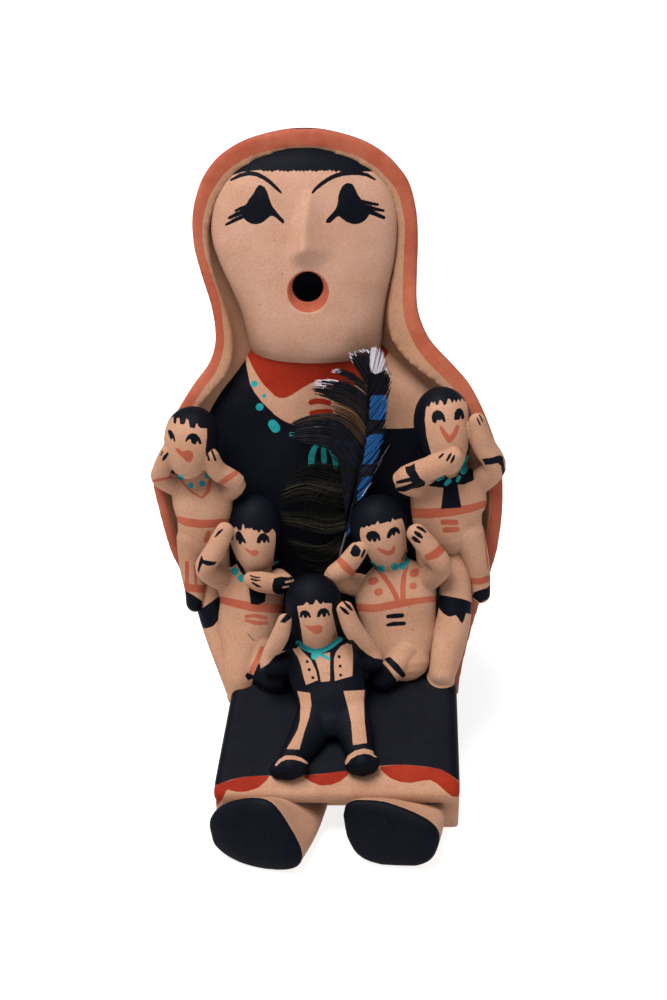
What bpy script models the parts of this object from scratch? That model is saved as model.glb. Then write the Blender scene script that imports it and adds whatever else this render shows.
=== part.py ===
"""A pueblo storyteller: a seated mother of painted clay with five children on her, and two feathers.

The clay work is one solid, because its lumps were joined wet and fired together. It is shaped here as
closed lumps in millimetres, which one remesh then joins. It faces -Y, stands on z = 0 and has X to the
right of someone who looks at its face.
"""

import math

import bmesh
import bpy
import numpy as np
from mathutils import Matrix, Vector

MM = 0.001

# The whole work
FACE_TILT = 28.0  # degrees that the children's faces look up
CENTRE_X = 0.57  # middle of the outline in the frame that the lumps are given in
CENTRE_Y = -3.5
CLAY_GRAIN = 0.95  # mesh width at which the lumps are joined
CLAY_TRIANGLES = 8800
RUBS = 4  # smoothing passes over the joined clay
SIDES = 40  # points round a large section
LIMB_SIDES = 16
LEVEL_SLACK = 0.05  # nearer to the ground than this counts as on it
ROUND_STEPS = (20.0, 45.0, 70.0, 88.0)  # degrees round a limb's rounded end

# The shawl: height, left edge, right edge, how far forward its rim stands, and its back
SHAWL = [
    (-2.0, -30.0, 45.5, 20.0, 69.0),
    (8.0, -30.5, 45.5, 15.0, 72.0),
    (20.0, -32.0, 46.5, 10.0, 75.0),
    (38.0, -37.0, 48.5, 1.0, 78.0),
    (54.0, -44.0, 51.5, -4.0, 79.0),
    (69.0, -50.0, 55.0, -6.0, 79.0),
    (84.0, -53.5, 56.5, -6.0, 78.2),
    (94.0, -55.5, 56.5, -4.0, 77.2),
    (100.0, -54.5, 56.0, -2.0, 76.3),
    (106.0, -51.5, 54.0, 1.0, 75.2),
    (112.0, -49.0, 51.5, 4.5, 73.8),
    (117.0, -46.0, 49.0, 7.0, 72.5),
    (122.5, -42.0, 45.5, 9.8, 71.0),
    (128.0, -37.5, 40.0, 12.6, 69.0),
    (134.0, -35.5, 33.8, 15.5, 67.4),
    (140.0, -35.8, 30.5, 17.8, 66.4),
    (146.0, -37.0, 29.0, 20.0, 65.8),
    (155.0, -40.0, 28.8, 23.2, 65.6),
    (164.0, -42.3, 29.0, 26.2, 65.6),
    (173.0, -42.5, 28.4, 28.9, 65.0),
    (182.0, -40.0, 26.0, 31.5, 62.5),
    (188.0, -36.3, 22.2, 32.9, 59.5),
    (192.0, -31.8, 17.6, 34.0, 56.5),
    (195.4, -25.5, 11.3, 34.8, 53.0),
    (197.8, -17.0, 3.0, 35.4, 49.0),
    (198.8, -10.0, -3.5, 35.8, 45.0),
]
RIM_LEFT = 3.2  # thickness of the shawl at its open edge
RIM_RIGHT = 4.3
RIM_TOP = 5.2
HOLLOW_DEPTH = 13.0
FALL = 0.42  # how steeply the shawl falls back from its rim above the shoulders
FALL_FROM = 30.0  # height at which it starts to
FALL_GROWTH = 0.0062
FALL_START = 4.0  # how far behind the rim the fall is in full

# The head: height, left edge, right edge, front, widest plane
HEAD = [
    (121.0, -23.5, 17.5, 13.0, 24.0),
    (127.0, -24.0, 17.3, 11.5, 24.0),
    (129.6, -24.4, 17.6, 9.2, 23.5),
    (131.8, -25.0, 17.8, 7.9, 23.0),
    (136.0, -25.6, 18.0, 8.4, 23.0),
    (142.0, -27.0, 18.7, 10.0, 24.0),
    (149.0, -29.9, 19.8, 12.2, 25.5),
    (157.0, -33.6, 21.6, 14.6, 27.0),
    (165.0, -36.0, 22.6, 17.2, 29.0),
    (173.0, -35.8, 22.6, 20.4, 31.0),
    (180.0, -33.7, 20.4, 23.6, 33.0),
    (186.0, -29.0, 15.4, 27.2, 35.0),
    (190.0, -23.0, 9.0, 30.6, 37.0),
    (192.4, -15.5, 2.0, 34.0, 39.0),
    (193.2, -10.0, -3.0, 37.0, 40.0),
]
HEAD_BACK = 50.0
NOSE = [
    (-7.6, 24.0, 182.0, 1.2, 0.8),
    (-7.8, 21.2, 175.0, 2.0, 1.8),
    (-7.4, 18.8, 168.5, 3.6, 2.8),
    (-6.9, 17.2, 163.4, 5.0, 3.5),
    (-6.8, 16.6, 162.0, 5.2, 3.4),
]
MOUTH_UP = 16.0  # degrees that her mouth points up
NOSE_FACING = (0.0, -0.94, 0.34)
MOUTH = (-6.0, 13.4, 155.3)
MOUTH_RADIUS = 5.0
MOUTH_DEPTH = 9.0
LIP_RADIUS = 6.6
LIP_DEPTH = 1.5

# Her chest under the children: height, left edge, right edge, front, widest plane
CHEST = [
    (-2.0, -27.0, 42.0, -14.0, 22.0),
    (40.0, -32.0, 44.0, -12.0, 16.0),
    (55.0, -39.0, 47.0, -10.0, 12.0),
    (70.0, -46.5, 50.5, -6.0, 10.0),
    (85.0, -48.5, 50.5, -2.0, 10.0),
    (100.0, -48.0, 49.5, 3.0, 13.0),
    (109.0, -44.5, 44.5, 6.5, 16.0),
    (116.0, -38.5, 37.5, 8.8, 19.0),
    (122.0, -31.5, 29.5, 10.4, 22.0),
    (127.0, -26.0, 21.5, 11.6, 24.0),
    (133.0, -22.0, 15.5, 14.0, 26.0),
]
CHEST_BACK = 44.0

# Her lap, seen from the side as (y, z), and the hem that stands over her legs
LAP = [
    (20.0, 0.0),
    (20.0, 60.0),
    (0.0, 50.0),
    (-15.0, 42.0),
    (-40.0, 30.5),
    (-58.0, 22.6),
    (-63.5, 19.2),
    (-66.6, 15.4),
    (-66.4, 11.6),
    (-63.0, 9.2),
    (-50.0, 9.0),
    (-48.0, 0.0),
]
LAP_SIDE = [
    (-30.0, 0.0), (-30.0, 24.0), (-57.0, 20.0), (-62.0, 16.0), (-61.5, 8.0), (-59.0, -2.0), (-40.0, -2.0),
]
LAP_LEFT_FRONT = -34.6
LAP_LEFT_BACK = -26.8
LAP_LEFT_RUN = (-66.0, -36.0)  # its left edge goes from front to back between these
LAP_RIGHT = 42.0
LAP_SIDE_WALL = 7.0
LAP_ROUND = 3.2

# Her legs, from the thigh through the ankle under the hem to the sole: (x, y, z, half width, half height)
LEGS = {
    "left": [(-9.0, -40.0, 7.5, 12.0, 7.0), (-15.8, -64.0, 7.8, 14.0, 7.6), (-21.0, -78.4, 11.3, 16.2, 11.6)],
    "right": [(27.0, -40.0, 7.5, 12.0, 7.0), (23.4, -64.0, 7.8, 14.0, 7.6), (19.9, -78.4, 11.4, 15.6, 11.6)],
}
SOLE_TURN = 24.0  # degrees that a sole's long way slopes down to the right
SOLE_ROUND = 0.28  # how far a sole bulges, for each unit of its half size

# Her forearms and hands, which hold the outer children: (x, y, z, half width, half depth)
ARMS = {
    "left": [
        (-42.0, 2.0, 68.0, 5.0, 4.5),
        (-38.0, -9.0, 56.0, 5.2, 4.8),
        (-34.6, -15.0, 47.0, 5.4, 5.0),
        (-31.0, -22.0, 38.0, 4.8, 4.6),
        (-29.2, -27.0, 31.0, 3.4, 3.4),
    ],
    "right": [
        (42.0, 0.0, 80.0, 4.4, 4.4),
        (41.5, -12.0, 68.0, 4.6, 4.6),
        (41.5, -17.0, 57.0, 5.4, 4.8),
        (39.6, -22.0, 47.0, 5.6, 5.0),
        (37.2, -28.0, 37.5, 4.4, 4.2),
    ],
}

# The children. A head is centre, half width, half height and roll. A body or a limb is a line of
# x, y, z, half width and half depth.
CHILDREN = {
    "upper_left": {
        "head": ((-42.8, -5.0, 109.2), 8.6, 11.6, 8.0),
        "body": [
            (-42.5, -1.0, 98.0, 4.4, 4.2), (-41.0, -3.0, 93.0, 8.7, 4.4),
            (-39.5, -6.0, 88.5, 9.6, 4.8), (-39.0, -8.0, 82.5, 8.7, 5.0),
            (-39.2, -9.0, 76.0, 8.5, 4.8),
        ],
        "limbs": {
            "left_arm": [
                (-49.9, -8.0, 107.0, 2.7, 2.1), (-52.0, -7.0, 101.0, 3.0, 2.7),
                (-52.4, -5.5, 96.5, 3.0, 2.8), (-46.5, -3.5, 92.5, 3.1, 2.9),
            ],
            "right_arm": [
                (-36.6, -9.5, 106.6, 2.9, 2.1), (-34.4, -8.5, 101.0, 3.2, 2.7),
                (-28.5, -7.0, 95.4, 3.1, 2.9), (-35.0, -5.0, 89.5, 3.6, 3.4),
            ],
            "left_leg": [
                (-43.2, -9.0, 77.0, 4.9, 4.3), (-43.0, -10.5, 68.0, 4.4, 3.8),
                (-42.4, -12.0, 60.0, 3.4, 3.1), (-42.4, -13.2, 55.5, 3.0, 3.2),
            ],
            "right_leg": [
                (-35.6, -9.0, 77.0, 4.7, 4.0), (-35.0, -10.0, 70.0, 4.0, 3.6),
                (-34.0, -11.0, 64.0, 3.4, 3.1),
            ],
        },
    },
    "upper_right": {
        "head": ((37.2, -2.5, 112.0), 9.2, 14.2, -6.0),
        "body": [
            (39.4, -1.0, 98.5, 5.6, 4.6), (39.6, -4.0, 94.0, 11.0, 4.8),
            (39.0, -6.0, 90.0, 12.3, 5.2), (38.6, -8.0, 85.5, 11.4, 5.0),
            (39.4, -9.0, 79.5, 10.6, 4.8),
        ],
        "limbs": {
            "left_arm": [
                (40.4, -12.0, 108.0, 2.9, 2.2), (36.0, -12.0, 105.2, 3.7, 2.9),
                (24.6, -10.0, 98.6, 3.8, 3.4), (31.0, -6.0, 93.4, 4.0, 3.8),
            ],
            "right_arm": [
                (47.4, -6.5, 117.8, 2.7, 2.1), (49.4, -7.0, 110.0, 3.7, 2.9),
                (53.4, -7.0, 101.4, 3.7, 3.1), (48.5, -5.0, 94.8, 3.8, 3.6),
            ],
            "right_leg": [
                (45.4, -9.0, 78.5, 5.5, 4.7), (47.6, -10.5, 69.0, 4.6, 4.0),
                (49.4, -12.0, 62.5, 3.5, 3.1), (49.8, -13.2, 58.6, 3.1, 2.9),
            ],
            "left_leg": [
                (34.0, -9.0, 79.0, 5.4, 4.5), (34.4, -11.0, 70.0, 4.7, 4.0),
                (35.0, -12.0, 64.0, 3.6, 3.1),
            ],
        },
    },
    "inner_left": {
        "head": ((-22.8, -10.0, 79.0), 8.4, 12.6, 0.0),
        "body": [
            (-23.0, -10.0, 67.0, 5.6, 4.8), (-24.0, -13.0, 62.5, 10.8, 5.2),
            (-24.0, -16.0, 57.5, 10.2, 5.8), (-25.0, -18.5, 50.0, 10.0, 6.2),
            (-25.8, -22.0, 42.5, 8.4, 6.2), (-27.4, -26.5, 35.0, 5.8, 5.2),
            (-28.6, -29.0, 30.0, 3.5, 3.5),
        ],
        "limbs": {
            "left_arm": [
                (-32.0, -16.5, 84.0, 2.9, 2.2), (-35.2, -18.0, 77.5, 3.4, 2.9),
                (-38.4, -18.5, 70.8, 3.4, 3.1), (-33.0, -15.0, 65.0, 4.0, 3.8),
            ],
            "right_arm": [
                (-24.2, -21.0, 68.6, 2.5, 2.0), (-20.5, -21.0, 67.6, 3.4, 2.7),
                (-13.0, -19.0, 65.4, 3.0, 2.9), (-15.5, -14.0, 64.6, 3.6, 3.4),
            ],
            "right_leg": [
                (-21.5, -22.0, 45.0, 5.2, 4.9), (-21.4, -27.0, 39.6, 4.3, 4.0),
                (-18.0, -30.5, 37.4, 4.0, 3.8), (-15.4, -31.5, 37.6, 3.8, 3.6),
            ],
        },
    },
    "inner_right": {
        "head": ((17.4, -10.0, 80.0), 9.4, 11.9, -13.0),
        "body": [
            (20.6, -10.0, 68.8, 5.8, 4.8), (21.8, -13.0, 64.0, 12.1, 5.2),
            (22.4, -16.0, 58.6, 13.1, 5.8), (23.4, -18.0, 52.0, 12.1, 6.2),
            (24.6, -21.0, 45.0, 11.2, 6.4), (25.6, -25.0, 40.6, 7.9, 5.2),
        ],
        "limbs": {
            "left_arm": [
                (10.0, -17.5, 77.0, 3.1, 2.4), (6.0, -18.0, 71.4, 3.5, 2.9),
                (2.4, -18.0, 67.4, 3.2, 3.1), (9.0, -14.0, 62.6, 3.8, 3.6),
            ],
            "right_arm": [
                (28.4, -17.5, 83.6, 3.2, 2.5), (33.2, -18.5, 77.4, 3.7, 3.1),
                (36.4, -18.5, 71.4, 3.6, 3.4), (31.6, -15.0, 65.6, 4.0, 3.8),
            ],
            "left_leg": [
                (25.0, -24.0, 44.0, 5.6, 5.2), (23.0, -27.5, 41.4, 4.3, 4.0),
                (20.0, -30.5, 39.4, 3.8, 3.6), (17.4, -31.6, 38.8, 4.3, 3.8),
            ],
        },
    },
    "middle": {
        "head": ((-4.0, -27.0, 60.4), 9.0, 12.1, -2.0),
        "body": [
            (-2.6, -26.5, 49.6, 5.6, 4.8), (-1.6, -30.0, 46.8, 10.4, 5.0),
            (-0.4, -34.0, 43.0, 11.9, 5.4), (1.0, -38.0, 38.8, 11.4, 5.4),
            (1.8, -42.0, 35.4, 11.0, 5.0), (1.9, -46.0, 32.6, 9.8, 3.7),
        ],
        "limbs": {
            "left_arm": [
                (-12.6, -34.5, 62.8, 2.5, 2.0), (-14.6, -35.0, 56.4, 3.0, 2.6),
                (-17.8, -34.0, 48.0, 2.7, 2.6), (-17.0, -34.0, 44.4, 3.8, 3.6),
                (-10.0, -31.0, 44.0, 4.3, 3.8),
            ],
            "right_arm": [
                (5.8, -34.5, 65.8, 2.7, 2.0), (8.6, -35.0, 58.4, 3.2, 2.7),
                (13.4, -34.0, 50.2, 3.1, 2.9), (14.2, -34.0, 46.4, 4.0, 3.8),
                (9.0, -31.0, 45.4, 4.3, 3.8),
            ],
            "left_leg": [
                (-3.2, -43.5, 34.0, 5.8, 4.0), (-5.2, -49.0, 30.8, 5.4, 3.6),
                (-8.4, -54.5, 27.4, 4.7, 3.1), (-10.6, -58.5, 25.2, 4.3, 2.9),
            ],
            "right_leg": [
                (7.0, -43.5, 34.0, 5.8, 4.0), (8.8, -49.0, 31.2, 5.4, 3.6),
                (10.0, -54.0, 28.0, 4.7, 3.1), (10.8, -58.0, 26.0, 4.3, 2.9),
            ],
            "left_shoe": [
                (-13.6, -61.4, 23.8, 3.1, 2.9), (-11.4, -61.8, 24.4, 3.8, 3.4),
                (-9.2, -61.4, 24.4, 3.1, 2.9),
            ],
            "right_shoe": [
                (9.0, -60.6, 25.2, 3.4, 3.1), (11.2, -61.0, 25.6, 4.0, 3.6),
                (13.4, -60.6, 25.4, 3.4, 3.1),
            ],
        },
    },
}
HEAD_DEPTH = 0.92  # a child's head: depth for each unit of width
HEAD_TAPER = 0.16  # how much wider its crown is than its chin

# The feathers. Both lie along the chest: how far forward they are at a height, as (z, y)
BLADE_LINE = [
    (73.0, -11.0), (78.0, -9.5), (89.0, -6.5), (100.0, -2.5), (110.0, 1.0), (122.0, 4.0), (139.0, 5.0),
]
BLADE = [
    (16.0, 138.0), (20.5, 129.5), (19.5, 120.0), (18.5, 107.5), (17.5, 98.5), (14.5, 93.0),
    (10.6, 92.0), (8.6, 90.0), (6.0, 81.0), (5.0, 76.0), (4.0, 76.0), (4.8, 81.0),
    (7.0, 90.0), (8.0, 99.5), (1.0, 105.0), (-11.5, 108.5), (-12.0, 112.0), (-2.5, 116.5),
    (-6.0, 124.0), (0.5, 126.5), (1.0, 131.0), (6.0, 129.5), (6.5, 136.0), (12.5, 134.0),
]
BLADE_THICK = 0.9
PLUME_LINE = [(64.0, -9.3), (85.0, -4.5), (98.0, -0.5)]
PLUME = [
    (-5.0, 97.0), (0.5, 98.0), (5.6, 96.0), (6.2, 89.5), (4.6, 81.5), (3.2, 75.0),
    (1.5, 68.5), (-2.5, 66.0), (-7.0, 67.0), (-10.8, 71.5), (-12.0, 80.0), (-11.5, 90.5),
]
PLUME_THICK = 2.6

COLOURS = {
    "painted_clay": (0.58, 0.33, 0.22),
    "blue_feather": (0.01, 0.06, 0.16),
    "dark_down": (0.01, 0.009, 0.008),
}


def clear_scene():
    for obj in list(bpy.data.objects):
        bpy.data.objects.remove(obj)


def smoothed(stations, steps):
    """The rows of numbers in stations, with steps - 1 more between each two on a smooth curve."""
    rows = []
    last = len(stations) - 1
    for i in range(last):
        a, b = stations[i], stations[i + 1]
        before, after = stations[max(i - 1, 0)], stations[min(i + 2, last)]
        for k in range(steps):
            t = k / steps
            row = []
            for p0, p1, p2, p3 in zip(before, a, b, after):
                bend = 2 * p0 - 5 * p1 + 4 * p2 - p3
                twist = 3 * p1 - p0 - 3 * p2 + p3
                row.append(0.5 * (2 * p1 + (p2 - p0) * t + bend * t * t + twist * t * t * t))
            rows.append(tuple(row))
    rows.append(tuple(stations[last]))
    return rows


def tilted(back, roll=0.0):
    """Axes of a form that leans back and is then rolled clockwise, in degrees: right, rear and up."""
    lean = Matrix.Rotation(math.radians(-back), 3, "X")
    return lean @ Matrix.Rotation(math.radians(roll), 3, "Y")


def egg(bm, centre, half, axes, taper=0.0, segments=28):
    """A ball stretched to the half sizes, wider towards its top by taper."""
    made = bmesh.ops.create_uvsphere(bm, u_segments=segments, v_segments=segments // 2, radius=1.0)["verts"]
    for vert in made:
        spread = 1.0 + taper * vert.co.z
        local = Vector((vert.co.x * half[0] * spread, vert.co.y * half[1] * spread, vert.co.z * half[2]))
        vert.co = axes @ local + Vector(centre)


def skin(bm, rings):
    """A closed skin over rings of points that all have the same count, by extruding the first ring."""
    count = len(rings[0])
    made = bmesh.ops.create_circle(bm, cap_ends=True, segments=count, radius=1.0)["verts"]
    made.sort(key=lambda v: math.atan2(v.co.y, v.co.x) % math.tau)
    for vert, place in zip(made, rings[0]):
        vert.co = place
    loop = list(made)
    for ring in rings[1:]:
        edges = [bm.edges.get((loop[i], loop[(i + 1) % count])) for i in range(count)]
        known = dict(zip(loop, range(count)))
        fresh = bmesh.ops.extrude_edge_only(bm, edges=edges)["geom"]
        new = [g for g in fresh if isinstance(g, bmesh.types.BMVert)]
        order = [None] * count
        for vert in new:
            base = next(e.other_vert(vert) for e in vert.link_edges if e.other_vert(vert) in known)
            order[known[base]] = vert
        for vert, place in zip(order, ring):
            vert.co = place
        loop = order
    bm.faces.new(loop)


def limb(bm, stations, steps=4, sides=LIMB_SIDES, facing=(0.0, -0.883, 0.469), bulge=1.0):
    """A flattened tube with rounded ends through rows of x, y, z, half width, half depth."""
    rows = smoothed(stations, steps)
    places = [Vector(r[:3]) for r in rows]
    ways = []
    for i, place in enumerate(places):
        ahead = places[min(i + 1, len(places) - 1)]
        behind = places[max(i - 1, 0)]
        ways.append((ahead - behind).normalized())
    cuts = [(places[0], ways[0], rows[0][3:], -a) for a in reversed(ROUND_STEPS)]
    cuts += [(place, way, row[3:], 0.0) for place, way, row in zip(places, ways, rows)]
    cuts += [(places[-1], ways[-1], rows[-1][3:], a) for a in ROUND_STEPS]
    rings = []
    for place, way, (wide, deep), angle in cuts:
        side = way.cross(Vector(facing)).normalized()
        front = side.cross(way)
        shrink = math.cos(math.radians(angle))
        middle = place + way * (math.sin(math.radians(angle)) * bulge * (wide + deep) / 2)
        ring = []
        for k in range(sides):
            turn = math.tau * k / sides
            across = side * (wide * shrink * math.cos(turn))
            along = front * (deep * shrink * math.sin(turn))
            ring.append(middle + across + along)
        rings.append(ring)
    skin(bm, rings)


def level_ring(z, left, right, front, widest, back, flat_front):
    """One level outline: a half oval behind the widest plane, and a flat or an oval front."""
    middle, half = (left + right) / 2, (right - left) / 2
    ring = []
    for k in range(SIDES):
        turn = math.tau * (k + 0.5) / SIDES
        across, along = math.cos(turn), math.sin(turn)
        if along > 0:
            y = widest + (back - widest) * along
        elif flat_front:
            y = front - 0.3 * along
        else:
            y = widest + (widest - front) * along
        ring.append(Vector((middle + half * across, y, z)))
    return ring


def shawl(bm):
    rings = []
    for z, left, right, rim, back in smoothed(SHAWL, 2):
        ring = level_ring(z, left, right, rim, rim, back, True)
        fall = min(max((z - FALL_FROM) * FALL_GROWTH, 0.0), FALL)
        for place in ring:
            behind = max(place.y - rim, 0.0)
            place.z -= fall * behind * behind / (behind + FALL_START)
        rings.append(ring)
    skin(bm, rings)


def shawl_hollow(bm):
    """The space inside the open edge, a shallow bowl that runs down to the ground."""
    rings = []
    low, high = SHAWL[0][0], SHAWL[-1][0]
    squeeze = (high - RIM_TOP - low) / (high - low)
    for z, left, right, rim, back in smoothed(SHAWL, 2):
        height = low + (z - low) * squeeze - 0.5
        middle = (left + RIM_LEFT + right - RIM_RIGHT) / 2
        half = (right - RIM_RIGHT - left - RIM_LEFT) / 2
        if half < 2.0:
            break
        ring = level_ring(height, middle - half, middle + half, rim - 12.0, rim, rim + HOLLOW_DEPTH, False)
        for place in ring:
            if place.y < rim:
                place.x = middle + math.copysign(half, place.x - middle)
        rings.append(ring)
    skin(bm, rings)


def oval_lump(bm, levels, back):
    """A closed lump through level ovals: height, left edge, right edge, front and widest plane."""
    skin(bm, [level_ring(*level, back, False) for level in levels])


def head(bm):
    oval_lump(bm, smoothed(HEAD, 3), HEAD_BACK)


def bore(bm, near, far, start, end):
    """A round cutter into her mouth, with its near and far radius and how deep it starts and ends."""
    aim = Matrix.Rotation(math.radians(90.0 - MOUTH_UP), 4, "X")
    place = Matrix.Translation(Vector(MOUTH)) @ aim @ Matrix.Translation((0.0, 0.0, -(start + end) / 2))
    deep = end - start
    bmesh.ops.create_cone(bm, cap_ends=True, segments=28, radius1=far, radius2=near, depth=deep, matrix=place)


def mouth_hole(bm):
    bore(bm, MOUTH_RADIUS, MOUTH_RADIUS * 0.8, -4.0, MOUTH_DEPTH)


def lip(bm):
    bore(bm, LIP_RADIUS + 1.6, MOUTH_RADIUS - 0.2, -1.8, LIP_DEPTH)


def chest(bm):
    oval_lump(bm, smoothed(CHEST, 2), CHEST_BACK)


def slab(bm, outline, left, right, rounding):
    """A slab with the side outline (y, z), from left to right, its edges rounded."""
    verts = [bm.verts.new((left, y, z)) for y, z in outline]
    face = bm.faces.new(verts)
    pushed = bmesh.ops.extrude_face_region(bm, geom=[face])["geom"]
    moved = [g for g in pushed if isinstance(g, bmesh.types.BMVert)]
    bmesh.ops.translate(bm, verts=moved, vec=(right - left, 0.0, 0.0))
    rims = [g for g in pushed if isinstance(g, bmesh.types.BMEdge)] + list(face.edges)
    bmesh.ops.bevel(bm, geom=rims, offset=rounding, segments=3, profile=0.5, affect="EDGES", material=-1)
    return verts


def lap(bm):
    """Her skirt over her thighs, with side walls that come down to the ground."""
    whole = bmesh.new()
    slab(whole, LAP, LAP_LEFT_FRONT, LAP_RIGHT, LAP_ROUND)
    for left in (LAP_LEFT_FRONT, LAP_RIGHT - LAP_SIDE_WALL):
        slab(whole, LAP_SIDE, left, left + LAP_SIDE_WALL, 1.6)
    for vert in whole.verts:
        if vert.co.x < 0.0:
            start, end = LAP_LEFT_RUN
            share = min(max((vert.co.y - start) / (end - start), 0.0), 1.0)
            vert.co.x += (LAP_LEFT_BACK - LAP_LEFT_FRONT) * share
    add(bm, whole)


def legs(bm):
    for stations in LEGS.values():
        facing = tilted(0.0, SOLE_TURN) @ Vector((0.0, 0.0, 1.0))
        limb(bm, stations, steps=6, sides=32, facing=facing, bulge=SOLE_ROUND)


def child(bm, form):
    centre, half_width, half_height, roll = form["head"]
    axes = tilted(FACE_TILT, roll)
    egg(bm, centre, (half_width, half_width * HEAD_DEPTH, half_height), axes, HEAD_TAPER)
    limb(bm, form["body"], sides=24)
    for stations in form["limbs"].values():
        limb(bm, stations)


def add(bm, other):
    """Puts the faces of another bmesh into bm."""
    scrap = bpy.data.meshes.new("scrap")
    bmesh.ops.recalc_face_normals(other, faces=other.faces)
    other.to_mesh(scrap)
    other.free()
    bm.from_mesh(scrap)
    bpy.data.meshes.remove(scrap)


def temporary(bm, name):
    """An object that is removed again once its modifiers have been read."""
    bmesh.ops.recalc_face_normals(bm, faces=bm.faces)
    mesh = bpy.data.meshes.new(name)
    bm.to_mesh(mesh)
    bm.free()
    obj = bpy.data.objects.new(name, mesh)
    bpy.context.scene.collection.objects.link(obj)
    return obj


def settled(obj):
    """The object's mesh with its modifiers applied, as a bmesh. The object is removed."""
    bpy.context.view_layer.update()
    depsgraph = bpy.context.evaluated_depsgraph_get()
    bm = bmesh.new()
    bm.from_object(obj, depsgraph)
    bpy.data.objects.remove(obj)
    return bm


def carved(body, cutter):
    """body less cutter."""
    kept = temporary(body, "carved_body")
    tool = temporary(cutter, "carving_tool")
    cut = kept.modifiers.new("carving", "BOOLEAN")
    cut.operation = "DIFFERENCE"
    cut.object = tool
    left = settled(kept)
    bpy.data.objects.remove(tool)
    return left


def shape(*makers):
    bm = bmesh.new()
    for make in makers:
        make(bm)
    return bm


def clay():
    """All the lumps as one skin, in millimetres."""
    lumps = carved(shape(shawl), shape(shawl_hollow))
    add(lumps, carved(carved(shape(head), shape(mouth_hole)), shape(lip)))
    limb(lumps, NOSE, facing=NOSE_FACING)
    for make in (chest, lap, legs):
        make(lumps)
    for stations in ARMS.values():
        limb(lumps, stations, sides=20)
    for form in CHILDREN.values():
        child(lumps, form)
    return lumps


def joined(lumps, grain, triangles):
    """The lumps remeshed as one skin, rubbed smooth and thinned to about so many triangles."""
    obj = temporary(lumps, "lumps")
    remesh = obj.modifiers.new("joining", "REMESH")
    remesh.mode = "VOXEL"
    remesh.voxel_size = grain
    rub = obj.modifiers.new("rubbing", "SMOOTH")
    rub.factor = 0.5
    rub.iterations = RUBS
    fine = settled(obj)
    count = sum(len(face.verts) - 2 for face in fine.faces)
    obj = temporary(fine, "fine_lumps")
    thin = obj.modifiers.new("thinning", "DECIMATE")
    thin.ratio = triangles / count
    return settled(obj)


def stand(bm):
    """Cuts the underside flat at z = 0."""
    cut = bmesh.ops.bisect_plane(
        bm,
        geom=bm.verts[:] + bm.edges[:] + bm.faces[:],
        dist=LEVEL_SLACK,
        plane_co=(0, 0, 0),
        plane_no=(0, 0, -1),
        clear_outer=True,
    )
    for vert in bm.verts:
        if vert.co.z < LEVEL_SLACK:
            vert.co.z = 0.0
    rims = [g for g in cut["geom_cut"] if isinstance(g, bmesh.types.BMEdge) and g.is_boundary]
    bmesh.ops.holes_fill(bm, edges=rims, sides=0)


def feather(outline, line, thick):
    """A thin blade with the outline (x, z), bent so that it follows the line (z, y)."""
    bm = bmesh.new()
    verts = [bm.verts.new((x, 0.0, z)) for x, z in outline]
    face = bm.faces.new(verts)
    bmesh.ops.triangulate(bm, faces=[face])
    bmesh.ops.subdivide_edges(bm, edges=bm.edges, cuts=1, use_grid_fill=True)
    pushed = bmesh.ops.extrude_face_region(bm, geom=bm.faces[:])["geom"]
    moved = [g for g in pushed if isinstance(g, bmesh.types.BMVert)]
    bmesh.ops.translate(bm, verts=moved, vec=(0.0, thick, 0.0))
    heights = [z for z, y in line]
    depths = [y for z, y in line]
    for vert in bm.verts:
        vert.co.y += float(np.interp(vert.co.z, heights, depths)) - thick / 2
    return bm


def material(name, rough):
    made = bpy.data.materials.new(name)
    made.use_nodes = True
    shader = made.node_tree.nodes["Principled BSDF"]
    shader.inputs["Base Color"].default_value = (*COLOURS[name], 1.0)
    shader.inputs["Roughness"].default_value = rough
    return made


def place(bm, name, parent, finish):
    """Puts the finished form in the scene in metres, under its parent."""
    bmesh.ops.transform(bm, matrix=Matrix.Scale(MM, 4), verts=bm.verts)
    bmesh.ops.recalc_face_normals(bm, faces=bm.faces)
    mesh = bpy.data.meshes.new(name)
    bm.to_mesh(mesh)
    bm.free()
    mesh.materials.append(finish)
    obj = bpy.data.objects.new(name, mesh)
    bpy.context.scene.collection.objects.link(obj)
    obj.parent = parent
    return obj


def main():
    clear_scene()
    frame = bpy.data.objects.new("middle_of_outline", None)
    bpy.context.scene.collection.objects.link(frame)
    frame.location = (-CENTRE_X * MM, -CENTRE_Y * MM, 0.0)
    body = joined(clay(), CLAY_GRAIN, CLAY_TRIANGLES)
    stand(body)
    place(body, "storyteller", frame, material("painted_clay", 0.75))
    blade = feather(BLADE, BLADE_LINE, BLADE_THICK)
    place(blade, "barred_feather", frame, material("blue_feather", 0.45))
    plume = feather(PLUME, PLUME_LINE, PLUME_THICK)
    place(plume, "dark_plume", frame, material("dark_down", 0.8))


main()
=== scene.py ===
"""The look of the pueblo storyteller: painted clay and real feathers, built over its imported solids.

The clay is shaped in millimetres as closed lumps that one remesh joins, as the part's own source does
it, but finer and piece by piece. Paint is kept on the skin as distances: each layer stores how far a
point lies outside the paint, so that a brushed edge stays sharp at any size.
"""

import math
import random

import bmesh
import bpy
import numpy as np
from mathutils import Matrix, Vector


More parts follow.
